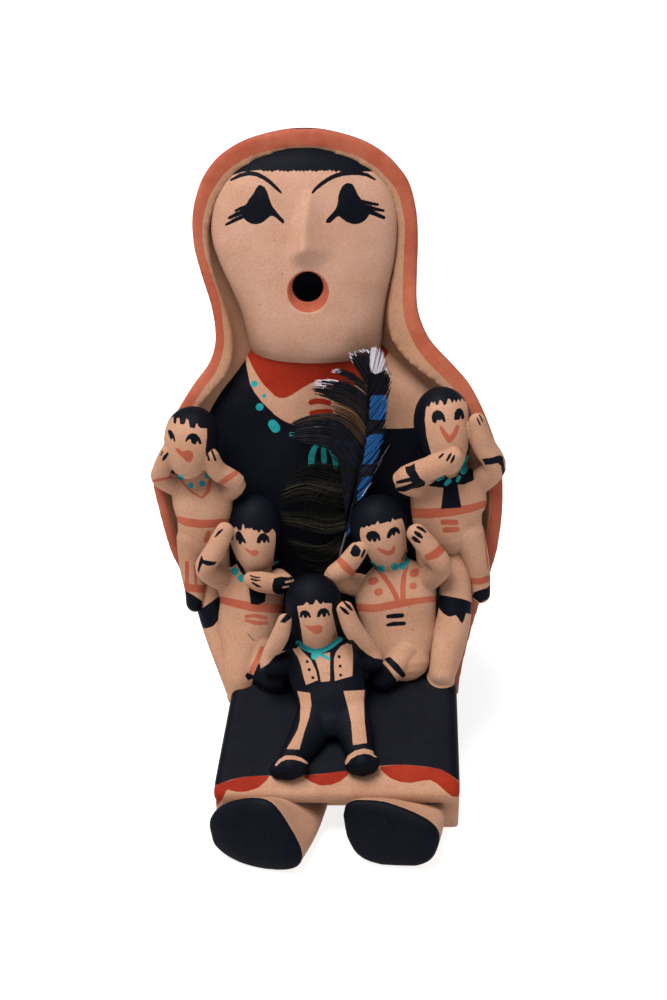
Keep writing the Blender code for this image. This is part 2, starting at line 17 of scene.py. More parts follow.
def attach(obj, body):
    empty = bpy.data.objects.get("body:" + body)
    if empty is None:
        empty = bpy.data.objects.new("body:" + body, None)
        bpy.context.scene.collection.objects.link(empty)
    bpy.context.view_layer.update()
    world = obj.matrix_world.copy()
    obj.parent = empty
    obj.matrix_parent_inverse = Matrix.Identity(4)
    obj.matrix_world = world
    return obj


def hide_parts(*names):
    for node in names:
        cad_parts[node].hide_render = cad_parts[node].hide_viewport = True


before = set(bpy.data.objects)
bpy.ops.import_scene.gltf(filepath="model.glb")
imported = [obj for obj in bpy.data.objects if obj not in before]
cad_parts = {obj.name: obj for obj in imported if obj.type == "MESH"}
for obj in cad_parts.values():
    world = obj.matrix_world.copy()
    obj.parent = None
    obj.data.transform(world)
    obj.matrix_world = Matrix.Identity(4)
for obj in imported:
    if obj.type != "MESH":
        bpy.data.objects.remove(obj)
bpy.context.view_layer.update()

MM = 0.001
CENTRE_X = 0.57  # middle of the outline in the frame that the lumps are given in
CENTRE_Y = -3.5

# The front view that the strokes of paint are given in: X to the right, Y down, 0.32 mm to a unit
VIEW_TILT = math.radians(28.0)
VIEW_TARGET = Vector((2.3, 0.0, 86.0))
VIEW_DISTANCE = 850.0
VIEW_SCALE = 2639.0
VIEW_WIDTH = 667
VIEW_HEIGHT = 1000
VIEW_UNIT = VIEW_DISTANCE / VIEW_SCALE
VIEW_AIM = Vector((0.0, math.cos(VIEW_TILT), -math.sin(VIEW_TILT)))
VIEW_UP = Vector((0.0, math.sin(VIEW_TILT), math.cos(VIEW_TILT)))
VIEW_EYE = VIEW_TARGET - VIEW_AIM * VIEW_DISTANCE

FACE_TILT = 28.0
SIDES = 112
LIMB_SIDES = 24
ROUND_STEPS = (20.0, 45.0, 70.0, 88.0)
FAR = 4.0  # a point further than this from paint counts as this far
PAINTS = ("black", "terracotta", "red", "turquoise")

# How fine the skin of each piece of clay is, in mm
HEAD_GRAIN = 0.42
ROUGH_HEAD_GRAIN = HEAD_GRAIN * 1.4
SHAWL_GRAIN = 0.95
DRESS_GRAIN = 0.77
FOOT_GRAIN = 0.6
CHILD_GRAIN = 0.32

# How often each piece is rubbed smooth
ROUGH_HEAD_RUBS = 12
HEAD_RUBS = 5
FOOT_RUBS = 6
CLAY_RUBS = 8

# The shawl: height, left edge, right edge, how far forward its rim stands, and its back
SHAWL = [
    (-2.0, -30.0, 45.5, 20.0, 69.0),
    (8.0, -30.5, 45.5, 15.0, 72.0),
    (20.0, -32.0, 46.5, 10.0, 75.0),
    (38.0, -37.0, 48.5, 1.0, 78.0),
    (54.0, -44.0, 51.5, -4.0, 79.0),
    (69.0, -50.0, 55.0, -6.0, 79.0),
    (84.0, -53.5, 56.5, -6.0, 78.2),
    (94.0, -55.5, 56.5, -4.0, 77.2),
    (100.0, -54.5, 56.0, -2.0, 76.3),
    (106.0, -51.5, 54.0, 1.0, 75.2),
    (112.0, -49.0, 51.5, 4.5, 73.8),
    (117.0, -46.0, 49.0, 7.0, 72.5),
    (122.5, -42.0, 45.5, 9.8, 71.0),
    (128.0, -37.5, 40.0, 12.6, 69.0),
    (134.0, -35.5, 33.8, 15.5, 67.4),
    (140.0, -35.8, 30.5, 17.8, 66.4),
    (146.0, -37.0, 29.0, 20.0, 65.8),
    (155.0, -40.0, 29.0, 23.2, 65.6),
    (164.0, -42.3, 29.3, 26.2, 65.6),
    (173.0, -42.5, 28.8, 28.9, 65.0),
    (182.0, -40.0, 26.5, 31.5, 62.5),
    (188.0, -36.3, 22.2, 32.9, 59.5),
    (192.0, -31.8, 17.6, 34.0, 56.5),
    (195.4, -25.5, 11.3, 34.8, 53.0),
    (197.8, -17.0, 3.0, 35.4, 49.0),
    (198.8, -10.0, -3.5, 35.8, 45.0),
]
# How thick its rim is on the left and on the right, by height, and how much of that is orange
RIM = [
    (0, 3.9, 4.3), (112, 3.9, 4.6), (120, 4.6, 6.5), (127, 5.6, 9.0), (135, 6.0, 10.2), (140, 5.8, 9.6),
    (147, 5.7, 9.0), (154, 5.6, 7.9), (162, 5.5, 6.9), (170, 5.2, 6.0), (178, 5.7, 5.8), (186, 5.6, 5.6),
    (192, 5.0, 5.0), (199, 5.0, 5.0),
]
ORANGE_RIM = [
    (0, 3.3, 3.7), (112, 3.2, 4.0), (127, 2.9, 4.6), (140, 2.8, 4.8), (147, 3.3, 4.6), (162, 3.1, 4.6),
    (170, 3.5, 4.2), (178, 4.2, 4.5), (184, 5.0, 5.0), (199, 5.3, 5.3),
]
RIM_TOP = 5.2
HOLLOW_DEPTH = 13.0
FALL = 0.42
FALL_FROM = 30.0
FALL_GROWTH = 0.0062
FALL_START = 4.0
HOOD_FROM = 150.0
HOOD_MIDDLE = 165.0
# How deep the orange paint goes back from the rim, by height
ORANGE_DEPTH = [(0, 1.6), (88, 1.6), (98, 4.0), (108, 9.0), (118, 9.5), (127, 5.0), (136, 2.2), (200, 2.6)]

# Her head: height, left edge, right edge, front, widest plane
HEAD = [
    (121.0, -22.5, 16.5, 17.0, 24.0),
    (126.0, -23.4, 17.0, 14.4, 24.0),
    (129.4, -24.4, 17.6, 11.8, 23.5),
    (132.2, -25.0, 18.0, 10.0, 23.0),
    (136.5, -25.8, 18.2, 9.4, 23.0),
    (142.0, -27.2, 18.8, 10.0, 24.0),
    (149.0, -30.1, 19.9, 12.0, 25.5),
    (157.0, -33.8, 21.6, 14.6, 27.0),
    (165.0, -36.4, 22.6, 17.3, 29.0),
    (173.0, -36.2, 22.6, 20.4, 31.0),
    (180.0, -33.7, 20.4, 23.6, 33.0),
    (186.0, -29.0, 15.4, 27.2, 35.0),
    (190.0, -23.0, 9.0, 30.6, 37.0),
    (192.4, -15.5, 2.0, 34.0, 39.0),
    (193.2, -10.0, -3.0, 37.0, 40.0),
]
HEAD_BACK = 50.0
# Her nose in the front view: down, where its ridge is, its reach to the left and right, and its height in mm
NOSE = [
    (183.0, 312.0, 14.0, 9.0, 0.0),
    (195.0, 310.0, 14.0, 11.0, 0.8),
    (210.0, 307.0, 13.0, 14.0, 2.1),
    (225.0, 304.6, 13.0, 19.0, 3.3),
    (240.0, 303.4, 14.0, 25.0, 4.5),
    (249.0, 303.0, 14.5, 28.0, 5.1),
    (254.0, 302.6, 15.0, 29.0, 4.5),
    (259.0, 302.2, 15.0, 29.0, 2.6),
    (264.0, 302.0, 15.0, 28.0, 0.8),
    (269.0, 302.0, 15.0, 28.0, 0.0),
]
NOSE_SOFT = 0.16
MOUTH_UP = 16.0
MOUTH = (-5.8, 13.4, 154.5)
MOUTH_RADIUS = 5.15
MOUTH_DEPTH = 9.0
LIP = (-5.7, 13.0, 153.2)
LIP_RADIUS = 6.6
LIP_DEPTH = 2.2
LIP_FLARE = 1.7

# Her chest: height, left edge, right edge, front, widest plane
CHEST = [
    (-2.0, -27.0, 42.0, -14.0, 22.0),
    (40.0, -32.0, 44.0, -12.0, 16.0),
    (55.0, -39.0, 47.0, -10.0, 12.0),
    (70.0, -46.5, 50.5, -6.0, 10.0),
    (85.0, -48.5, 50.5, -2.0, 10.0),
    (100.0, -48.0, 49.5, 3.0, 13.0),
    (109.0, -44.5, 44.5, 6.5, 16.0),
    (116.0, -38.5, 37.5, 8.8, 19.0),
    (122.0, -31.5, 29.5, 10.4, 22.0),
    (127.0, -26.0, 21.5, 11.6, 24.0),
    (133.0, -22.0, 15.5, 14.0, 26.0),
]
CHEST_BACK = 44.0

# Her lap from the side as (y, z), and the side walls that come down to the ground
LAP = [
    (20.0, 0.0),
    (20.0, 60.0),
    (0.0, 50.0),
    (-15.0, 42.0),
    (-40.0, 30.5),
    (-58.0, 22.6),
    (-63.0, 20.0),
    (-66.2, 17.0),
    (-66.2, 13.8),
    (-62.8, 11.8),
    (-50.0, 11.6),
    (-48.0, 0.0),
]
LAP_SIDE = [
    (-30.0, 0.0), (-30.0, 24.0), (-57.0, 20.0), (-62.0, 16.0), (-61.5, 8.0), (-59.0, -2.0), (-40.0, -2.0),
]
LAP_LEFT_FRONT = -35.8
LAP_LEFT_BACK = -26.0
LAP_LEFT_RUN = (-66.0, 0.0)
LAP_RIGHT = 42.0
LAP_SIDE_WALL = 7.0
LAP_ROUND = 3.2

# Her legs, from the thigh under the hem to the sole: (x, y, z, half width, half height)
LEGS = {
    "left": [(-9.0, -40.0, 7.5, 12.0, 7.0), (-15.8, -64.0, 7.6, 14.0, 7.4), (-21.7, -78.4, 11.0, 16.1, 11.7)],
    "right": [(27.0, -40.0, 7.5, 12.0, 7.0), (23.4, -64.0, 7.6, 14.0, 7.4), (20.1, -78.4, 11.0, 15.4, 10.65)],
}
# The outline of each sole as shares of its half width and half height, clockwise from its left
SOLES = {
    "left": [
        (-1, -0.1), (-0.915, 0.31), (-0.68, 0.64), (-0.35, 0.88), (-0.02, 1), (0.23, 0.98),
        (0.44, 0.78), (0.63, 0.5), (0.81, 0.19), (0.957, -0.13), (0.996, -0.44), (0.857, -0.72),
        (0.5, -0.89), (-0.03, -0.96), (-0.52, -0.86), (-0.88, -0.57),
    ],
    "right": [
        (-1, 0.25), (-0.98, 0.64), (-0.83, 0.84), (-0.515, 0.92), (-0.16, 0.93), (0.17, 0.84),
        (0.51, 0.7), (0.82, 0.49), (0.98, 0.21), (0.985, -0.15), (0.87, -0.62), (0.61, -0.88),
        (0.22, -0.97), (-0.24, -1.01), (-0.66, -0.81), (-0.92, -0.26),
    ],
}
UP = (0.0, 0.0, 1.0)
SOLE_ROUND = 0.22
SOLE_EDGE = 0.4  # how far behind its rim the black of a sole starts
SOLE_REACH = 24.0  # and how far from its middle it may lie
ARM_PAINT_REACH = 0.6  # what is painted on an arm may lie this far off it

# Her forearms and hands: (x, y, z, half width, half depth)
ARMS = {
    "left": [
        (-42.0, 2.0, 68.0, 5.0, 4.5),
        (-38.0, -9.0, 56.0, 5.2, 4.8),
        (-34.6, -15.0, 47.0, 5.4, 5.0),
        (-31.0, -22.0, 38.0, 4.8, 4.6),
        (-29.2, -27.0, 31.0, 3.4, 3.4),
    ],
    "right": [
        (41.0, 4.0, 84.0, 4.6, 4.4),
        (41.2, -6.5, 71.0, 4.9, 4.6),
        (41.5, -17.0, 57.0, 5.4, 4.8),
        (39.6, -22.0, 47.0, 5.6, 5.0),
        (37.2, -28.0, 37.5, 4.4, 4.2),
    ],
}

# The children. A head is centre, half width, half height and roll; hair ends at a point below it, so
# wide. A body or a limb is a line of x, y, z, half width and half depth.
CHILDREN = {
    "upper_left": {
        "head": ((-42.8, -5.0, 109.2), 8.6, 11.6, 8.0),
        "hair": ((-41.8, -2.6, 101.0), 7.6),
        "body": [
            (-42.5, -1.0, 98.0, 4.4, 4.2), (-41.0, -3.0, 93.0, 8.7, 4.4),
            (-39.5, -6.0, 88.5, 9.6, 4.8), (-39.0, -8.0, 82.5, 8.7, 5.0),
            (-39.2, -9.0, 76.0, 8.5, 4.8),
        ],
        "limbs": {
            "left_arm": [
                (-49.9, -8.0, 107.0, 2.7, 2.1), (-52.0, -7.0, 101.0, 3.0, 2.7),
                (-52.4, -5.5, 96.5, 3.0, 2.8), (-45.0, -1.5, 90.5, 3.6, 2.6),
            ],
            "right_arm": [
                (-36.6, -9.5, 106.6, 2.9, 2.1), (-34.4, -8.5, 101.0, 3.2, 2.7),
                (-28.5, -7.0, 95.4, 3.1, 2.9), (-36.0, -3.0, 88.0, 3.8, 2.8),
            ],
            "left_leg": [
                (-43.2, -9.0, 77.0, 4.9, 4.3), (-43.0, -10.5, 68.0, 4.4, 3.8),
                (-42.4, -12.0, 60.0, 3.4, 3.1), (-42.4, -13.2, 55.5, 3.0, 3.2),
            ],
            "right_leg": [
                (-35.6, -9.0, 77.0, 4.7, 4.0), (-35.0, -10.0, 70.0, 4.0, 3.6),
                (-34.0, -11.0, 64.0, 3.4, 3.1),
            ],
        },
    },
    "upper_right": {
        "head": ((37.2, -2.5, 112.0), 9.2, 14.2, -6.0),
        "hair": ((37.0, 0.2, 100.6), 8.6),
        "body": [
            (39.4, -1.0, 98.5, 5.6, 4.6), (39.6, -4.0, 94.0, 11.0, 4.8),
            (39.0, -6.0, 90.0, 12.3, 5.2), (38.6, -8.0, 85.5, 11.4, 5.0),
            (39.4, -9.0, 79.5, 10.6, 4.8),
        ],
        "limbs": {
            "left_arm": [
                (40.4, -12.0, 108.0, 2.9, 2.2), (36.0, -12.0, 105.2, 3.7, 2.9),
                (24.6, -10.0, 98.6, 3.8, 3.4), (33.0, -3.0, 91.8, 4.2, 3.0),
            ],
            "right_arm": [
                (47.4, -6.5, 117.8, 2.7, 2.1), (49.4, -7.0, 110.0, 3.7, 2.9),
                (53.4, -7.0, 101.4, 3.7, 3.1), (46.5, -2.5, 92.5, 4.4, 3.0),
            ],
            "right_leg": [
                (45.4, -9.0, 78.5, 5.5, 4.7), (48.4, -10.8, 69.0, 4.1, 4.0),
                (49.4, -12.0, 62.5, 3.5, 3.1), (49.8, -13.2, 58.6, 3.1, 2.9),
            ],
            "left_leg": [
                (33.6, -9.0, 79.0, 5.4, 4.5), (33.4, -11.0, 70.0, 4.5, 4.0),
                (34.0, -12.0, 64.0, 3.6, 3.1),
            ],
        },
    },
    "inner_left": {
        "head": ((-22.8, -10.0, 79.0), 8.4, 12.6, 0.0),
        "hair": ((-21.9, -7.6, 67.8), 7.2),
        "body": [
            (-23.0, -10.0, 67.0, 5.6, 4.8), (-24.0, -13.0, 62.5, 10.8, 5.2),
            (-24.0, -16.0, 57.5, 10.2, 5.8), (-25.0, -18.5, 50.0, 10.0, 6.2),
            (-25.8, -22.0, 42.5, 8.4, 6.2), (-27.4, -26.5, 35.0, 5.8, 5.2),
            (-28.6, -29.0, 30.0, 3.5, 3.5),
        ],
        "limbs": {
            "left_arm": [
                (-32.0, -16.5, 84.0, 2.9, 2.2), (-35.2, -18.0, 77.5, 3.4, 2.9),
                (-38.4, -18.5, 70.8, 3.4, 3.1), (-31.5, -13.0, 63.5, 4.2, 3.2),
            ],
            "right_arm": [
                (-24.2, -21.0, 68.6, 2.5, 2.0), (-20.5, -21.0, 67.6, 3.4, 2.7),
                (-13.0, -19.0, 65.4, 3.0, 2.9), (-15.5, -14.0, 64.6, 3.6, 3.4),
            ],
            "right_leg": [
                (-21.5, -22.0, 45.0, 5.2, 4.9), (-21.4, -27.0, 39.6, 4.3, 4.0),
                (-18.0, -30.5, 37.4, 4.0, 3.8), (-15.4, -31.5, 37.6, 3.8, 3.6),
            ],
        },
    },
    "inner_right": {
        "head": ((17.4, -10.0, 80.0), 9.4, 11.9, -13.0),
        "hair": ((18.2, -7.4, 71.0), 8.8),
        "body": [
            (20.6, -10.0, 68.8, 5.8, 4.8), (21.8, -13.0, 64.0, 12.1, 5.2),
            (22.4, -16.0, 58.6, 13.1, 5.8), (23.4, -18.0, 52.0, 12.1, 6.2),
            (24.6, -21.0, 45.0, 11.2, 6.4), (25.6, -25.0, 40.6, 7.9, 5.2),
        ],
        "limbs": {
            "left_arm": [
                (10.0, -17.5, 77.0, 3.1, 2.4), (6.0, -18.0, 71.4, 3.5, 2.9),
                (2.4, -18.0, 67.4, 3.2, 3.1), (11.0, -12.0, 61.0, 4.0, 3.0),
            ],
            "right_arm": [
                (28.4, -17.5, 83.6, 3.2, 2.5), (33.2, -18.5, 77.4, 3.7, 3.1),
                (36.4, -18.5, 71.4, 3.6, 3.4), (30.0, -12.5, 62.0, 4.4, 3.4),
            ],
            "left_leg": [
                (25.0, -24.0, 44.0, 5.6, 5.2), (23.0, -27.5, 41.4, 4.3, 4.0),
                (20.0, -30.5, 39.4, 3.8, 3.6), (17.4, -31.6, 38.8, 4.3, 3.8),
            ],
        },
    },
    "middle": {
        "head": ((-4.0, -27.0, 60.4), 9.0, 12.1, -2.0),
        "hair": ((-2.2, -24.6, 49.4), 8.8),
        "body": [
            (-2.6, -26.5, 49.6, 5.6, 4.8), (-1.6, -30.0, 46.8, 10.4, 5.0),
            (-0.4, -34.0, 43.0, 11.9, 5.4), (1.0, -38.0, 38.8, 11.4, 5.4),
            (1.8, -42.0, 35.4, 11.0, 5.0), (1.9, -46.0, 32.6, 9.8, 3.7),
        ],
        "limbs": {
            "left_arm": [
                (-13.0, -34.5, 61.6, 2.3, 1.9), (-14.6, -35.0, 56.0, 2.9, 2.5),
                (-17.8, -34.0, 48.0, 2.7, 2.6), (-17.0, -34.0, 44.4, 3.8, 3.6),
                (-10.0, -31.0, 44.0, 4.3, 3.8),
            ],
            "right_arm": [
                (5.8, -34.5, 65.8, 2.7, 2.0), (8.6, -35.0, 58.4, 3.2, 2.7),
                (13.4, -34.0, 50.2, 3.1, 2.9), (14.2, -34.0, 46.4, 4.0, 3.8),
                (9.0, -31.0, 45.4, 4.3, 3.8),
            ],
            "left_leg": [
                (-3.0, -43.5, 34.0, 6.0, 4.0), (-4.6, -49.0, 30.8, 6.1, 3.7),
                (-8.0, -54.5, 27.4, 5.2, 3.2), (-10.6, -58.5, 25.2, 4.4, 2.9),
            ],
            "right_leg": [
                (7.0, -43.5, 34.0, 6.0, 4.0), (8.2, -49.0, 31.2, 6.0, 3.7),
                (9.8, -54.0, 28.0, 5.0, 3.2), (10.8, -58.0, 26.0, 4.3, 2.9),
            ],
            "left_shoe": [
                (-14.8, -61.2, 22.8, 3.0, 2.8), (-11.6, -61.8, 24.0, 4.0, 3.4),
                (-8.6, -61.4, 24.4, 3.3, 3.0),
            ],
            "right_shoe": [
                (9.0, -60.6, 24.6, 3.4, 3.1), (11.2, -61.0, 25.0, 4.0, 3.6),
                (13.4, -60.6, 24.8, 3.4, 3.1),
            ],
        },
    },
}
HEAD_DEPTH = 0.92
HEAD_TAPER = 0.16
HAIR_BULGE = 0.5  # how round the ends of that hair are
HAIR_THICK = 0.5  # half thickness of the hair behind a child's face, for each unit of its half width

# The feathers, in the front view. The sheet that a feather lies in is given as (height, depth), in mm.
BLADE_SHEET = [
    (70.0, -11.2), (78.0, -9.5), (89.0, -6.5), (100.0, -2.5), (110.0, 1.0), (122.0, 4.0), (139.0, 5.0),
]
PLUME_SHEET = [(64.0, -9.3), (85.0, -4.5), (98.0, -0.5)]
QUILL = [
    (370.0, 349.0, 0.10), (369.2, 372.0, 0.13), (368.2, 398.0, 0.16), (364.6, 432.0, 0.20),
    (360.6, 465.0, 0.24), (354.2, 501.0, 0.28), (345.2, 536.0, 0.31), (340.0, 555.0, 0.33),
]
BARE_QUILL = [(356, 532), (332, 532), (332, 565), (356, 565)]
# Each tuft of barbs: how many, how wide in mm, the length of its pale tips in mm, how brown it is, and
# lines from the quill out to the tips between which its barbs lie.
WIDE_TUFTS = [
    (34, 0.42, 1.1, 0.04, [
        [(369.8, 352), (369.0, 350.5), (367.5, 349)],
        [(369.6, 362), (366, 356), (360, 349.5)],
        [(369.4, 374), (362, 361), (354, 350)],
        [(369.0, 384), (359, 368), (348.5, 353)],
        [(368.8, 388), (360, 374), (350, 359)],
    ]),
    (16, 0.36, 1.4, 0.08, [
        [(368.8, 390), (354, 374.5), (336, 368.5)],
        [(368.5, 396), (352, 379.5), (332, 370.5)],
    ]),
    (9, 0.26, 0.0, 0.45, [
        [(368.6, 386), (358, 377), (343, 374)],
        [(368.5, 396), (357, 386), (341, 380)],
    ]),
    (26, 0.44, 2.8, 0.04, [
        [(368.4, 397), (350, 384), (325, 379)],
        [(368.1, 403), (346, 388), (317, 380.5)],
        [(367.8, 408), (343, 391.5), (312, 385)],
    ]),
    (34, 0.44, 0.0, 0.08, [
        [(367.9, 408), (343, 392), (311, 385.5)],
        [(367.4, 416), (342, 397), (311, 388.5)],
        [(366.8, 424), (344, 402), (314, 392.5)],
        [(366.2, 427), (349, 406), (324, 394.5)],
    ]),
    (30, 0.20, 0.0, 1.0, [
        [(366.4, 428), (353, 409), (334, 400)],
        [(365.8, 434), (353, 416), (330, 406)],
        [(365.2, 440), (352, 422), (334, 412.5)],
    ]),
    (30, 0.40, 0.0, 0.25, [
        [(365.0, 440), (346, 418.5), (322, 413.5), (296, 421)],
        [(364.0, 446), (342, 422), (316, 416.5), (291, 424.5)],
    ]),
    (88, 0.46, 0.0, 0.0, [
        [(364.0, 446), (342, 422), (315, 417), (290, 425)],
        [(361.5, 457), (338, 430), (311, 426), (287, 430)],
        [(359.0, 468), (337, 439), (312, 433), (285, 436)],
        [(356.0, 478), (338, 447), (318, 439.5), (293, 439.5)],
        [(354.0, 486), (343, 460), (332, 447.5), (312, 440.5)],
    ]),
    (54, 0.44, 0.0, 0.0, [
        [(354.0, 485), (345, 463), (337, 452), (322, 444)],
        [(351.5, 496), (346, 477), (342, 466), (336, 454)],
        [(349.0, 507), (346, 492), (344, 481), (342, 468)],
        [(346.5, 516), (345, 505), (344, 497), (343, 487)],
    ]),
]
NARROW_TUFTS = [
    (170, 0.44, 0.0, 0.0, [
        [(369.9, 356), (370.4, 352), (370.8, 347.5)],
        [(369.6, 368), (371.8, 358), (373.5, 346.5)],
        [(369.4, 380), (373.4, 366), (377.5, 347.5)],
        [(369.1, 388), (375.4, 374), (381.5, 349)],
        [(368.9, 394), (377, 379), (384.8, 354)],
        [(368.8, 400), (378.5, 385), (387.4, 364)],
        [(368.6, 405), (379.5, 391), (390, 371)],
        [(368.2, 412), (380.2, 399), (391.6, 378)],
        [(367.2, 421), (379.5, 410), (389.8, 391)],
        [(366.0, 431), (378, 420), (387.4, 403)],
        [(364.8, 441), (377, 430), (387.6, 414)],
        [(363.4, 452), (375, 441), (385.0, 428)],
        [(361.4, 464), (372.5, 454), (383.8, 438)],
        [(358.8, 476), (369, 466), (380, 452)],
        [(356.2, 488), (365, 479), (376.5, 465)],
        [(353.4, 500), (361, 493), (372, 480)],
        [(350.8, 508), (356, 503), (363, 495)],
        [(347.5, 524), (352, 519), (358, 512)],
        [(344.6, 538), (349, 534), (354, 527)],
    ]),
    # The three all-pale barbs of this tuft are a painted highlight: a streak of light along barbs over the
    # blue bar.
    (3, 0.16, 9.0, 0.0, [
        [(369.0, 481), (377, 466), (390.5, 445)],
        [(361.6, 497), (366, 490), (371.5, 482)],
    ]),
]
PLUME_TUFTS = [
    (70, 0.20, 0.0, 0.5, [
        [(352, 470), (335, 466), (312, 462), (290, 472)],
        [(350, 486), (328, 481), (306, 476), (282, 482)],
        [(348, 500), (325, 494), (303, 490), (281, 498)],
        [(347, 508), (322, 503), (303, 500), (282, 504)],
    ]),
    (52, 0.20, 0.0, 0.4, [
        [(347, 512), (326, 515), (307, 512), (280, 512)],
        [(346, 524), (325, 528), (305, 523), (281, 518)],
        [(345, 530), (326, 534), (304, 528), (284, 524)],
    ]),
    (60, 0.20, 0.0, 0.3, [
        [(345, 532), (326, 545), (306, 545), (283, 538)],
        [(343, 544), (327, 556), (310, 557), (291, 551)],
        [(341, 552), (330, 565), (316, 568), (300, 563)],
        [(340, 556), (334, 568), (324, 574), (314, 573)],
    ]),
    (46, 0.20, 0.0, 0.3, [
        [(352, 472), (346, 488), (338, 510), (334, 540)],
        [(346, 476), (332, 494), (322, 515), (320, 545)],
        [(340, 474), (318, 486), (304, 505), (300, 535)],
    ]),
]
BLUE_BARS = [
    [(371, 396), (375, 395), (386.5, 395), (388, 405), (386, 419), (378, 420), (369, 419.5), (369.5, 408)],
    [(367, 437), (372, 434), (384, 434.5), (385, 444), (378, 456), (372, 464), (362.5, 465), (365, 450)],
    [(345, 531), (349, 523), (355, 522), (353, 535), (347, 547)],
    [(360.5, 480), (365, 476.5), (377, 476), (374, 487), (366, 497), (357, 502), (357.6, 490)],
]
PALE_TIP = [(368.8, 340), (390, 340), (386.5, 352), (386, 371), (382, 370), (377.5, 374), (373, 373.5),
            (370.4, 370)]
PALE_EDGE = [(384, 365), (388, 372), (391, 378)]
PLUME_STRANDS = [
    [(346, 490), (322, 487), (300, 487), (284, 491)],
    [(345, 524), (325, 526), (303, 523), (284, 519)],
    [(342, 546), (326, 547), (308, 543), (290, 541)],
]
BARB_STEPS = 9


def srgb(red, green, blue):
    """A colour given as 0 to 255 on the screen, as the linear colour that a shader takes."""
    parts = []
    for value in (red, green, blue):
        share = value / 255.0
        parts.append(share / 12.92 if share <= 0.04045 else ((share + 0.055) / 1.055) ** 2.4)
    return (*parts, 1.0)


# Shapes


def smoothed(stations, steps):
    """The rows of numbers in stations, with steps - 1 more between each two on a smooth curve."""
    rows = []
    last = len(stations) - 1
    for i in range(last):
        a, b = stations[i], stations[i + 1]
        before, after = stations[max(i - 1, 0)], stations[min(i + 2, last)]
        for k in range(steps):
            t = k / steps
            row = []
            for p0, p1, p2, p3 in zip(before, a, b, after):
                bend = 2 * p0 - 5 * p1 + 4 * p2 - p3
                twist = 3 * p1 - p0 - 3 * p2 + p3
                row.append(0.5 * (2 * p1 + (p2 - p0) * t + bend * t * t + twist * t * t * t))
            rows.append(tuple(row))
    rows.append(tuple(stations[last]))
    return rows


def tilted(back, roll=0.0):
    """Axes of a form that leans back and is then rolled clockwise, in degrees: right, rear and up."""
    lean = Matrix.Rotation(math.radians(-back), 3, "X")
    return lean @ Matrix.Rotation(math.radians(roll), 3, "Y")


def egg(bm, centre, half, axes, taper=0.0, segments=48):
    """A ball stretched to the half sizes, wider towards its top by taper."""
    made = bmesh.ops.create_uvsphere(bm, u_segments=segments, v_segments=segments // 2, radius=1.0)["verts"]
    for vert in made:
        spread = 1.0 + taper * vert.co.z
        local = Vector((vert.co.x * half[0] * spread, vert.co.y * half[1] * spread, vert.co.z * half[2]))
        vert.co = axes @ local + Vector(centre)


def skin(bm, rings):
    """A closed skin over rings of points that all have the same count, by extruding the first ring."""
    count = len(rings[0])
    made = bmesh.ops.create_circle(bm, cap_ends=True, segments=count, radius=1.0)["verts"]
    made.sort(key=lambda v: math.atan2(v.co.y, v.co.x) % math.tau)
    for vert, place in zip(made, rings[0]):
        vert.co = place
    loop = list(made)
    for ring in rings[1:]:
        edges = [bm.edges.get((loop[i], loop[(i + 1) % count])) for i in range(count)]
        known = dict(zip(loop, range(count)))
        fresh = bmesh.ops.extrude_edge_only(bm, edges=edges)["geom"]
        new = [g for g in fresh if isinstance(g, bmesh.types.BMVert)]
        order = [None] * count
        for vert in new:
            base = next(e.other_vert(vert) for e in vert.link_edges if e.other_vert(vert) in known)
            order[known[base]] = vert
        for vert, place in zip(order, ring):
            vert.co = place
        loop = order
    bm.faces.new(loop)


def cuts_along(stations, steps, facing):
    """Where a limb is cut across: place, direction, side, front and half sizes of each cut."""
    rows = smoothed(stations, steps)
    places = [Vector(row[:3]) for row in rows]
    cuts = []
    for i, place in enumerate(places):
        way = (places[min(i + 1, len(places) - 1)] - places[max(i - 1, 0)]).normalized()
        side = way.cross(Vector(facing)).normalized()
        cuts.append((place, way, side, side.cross(way), rows[i][3], rows[i][4]))
    return cuts


def circle(sides):
    turns = [math.tau * k / sides for k in range(sides)]
    return [(math.cos(turn), math.sin(turn)) for turn in turns]


def limb(bm, stations, steps=6, outline=circle(LIMB_SIDES), facing=(0.0, -0.883, 0.469), bulge=1.0):
    """A flattened tube with rounded ends through rows of x, y, z, half width, half depth."""
    cuts = cuts_along(stations, steps, facing)
    ends = [(cuts[0], -angle) for angle in reversed(ROUND_STEPS)]
    ends += [(cut, 0.0) for cut in cuts]
    ends += [(cuts[-1], angle) for angle in ROUND_STEPS]
    rings = []
    for (place, way, side, front, wide, deep), angle in ends:
        shrink = math.cos(math.radians(angle))
        middle = place + way * (math.sin(math.radians(angle)) * bulge * (wide + deep) / 2)
        wide, deep = wide * shrink, deep * shrink
        rings.append([middle + side * (wide * across) + front * (deep * along) for across, along in outline])
    skin(bm, rings)


def level_ring(z, left, right, front, widest, back, flat_front):
    """One level outline: a half oval behind the widest plane, and a flat or an oval front."""
    middle, half = (left + right) / 2, (right - left) / 2
    ring = []
    for k in range(SIDES):
        turn = math.tau * (k + 0.5) / SIDES
        across, along = math.cos(turn), math.sin(turn)
        if along > 0:
            y = widest + (back - widest) * along
        elif flat_front:
            y = front - 0.3 * along
        else:
            y = widest + (widest - front) * along
        ring.append(Vector((middle + half * across, y, z)))
    return ring


def shawl(bm):
    rings = []
    for z, left, right, rim, back in smoothed(SHAWL, 5):
        ring = level_ring(z, left, right, rim, rim, back, True)
        fall = min(max((z - FALL_FROM) * FALL_GROWTH, 0.0), FALL)
        for place in ring:
            behind = max(place.y - rim, 0.0)
            place.z -= fall * behind * behind / (behind + FALL_START)
        rings.append(ring)
    skin(bm, rings)


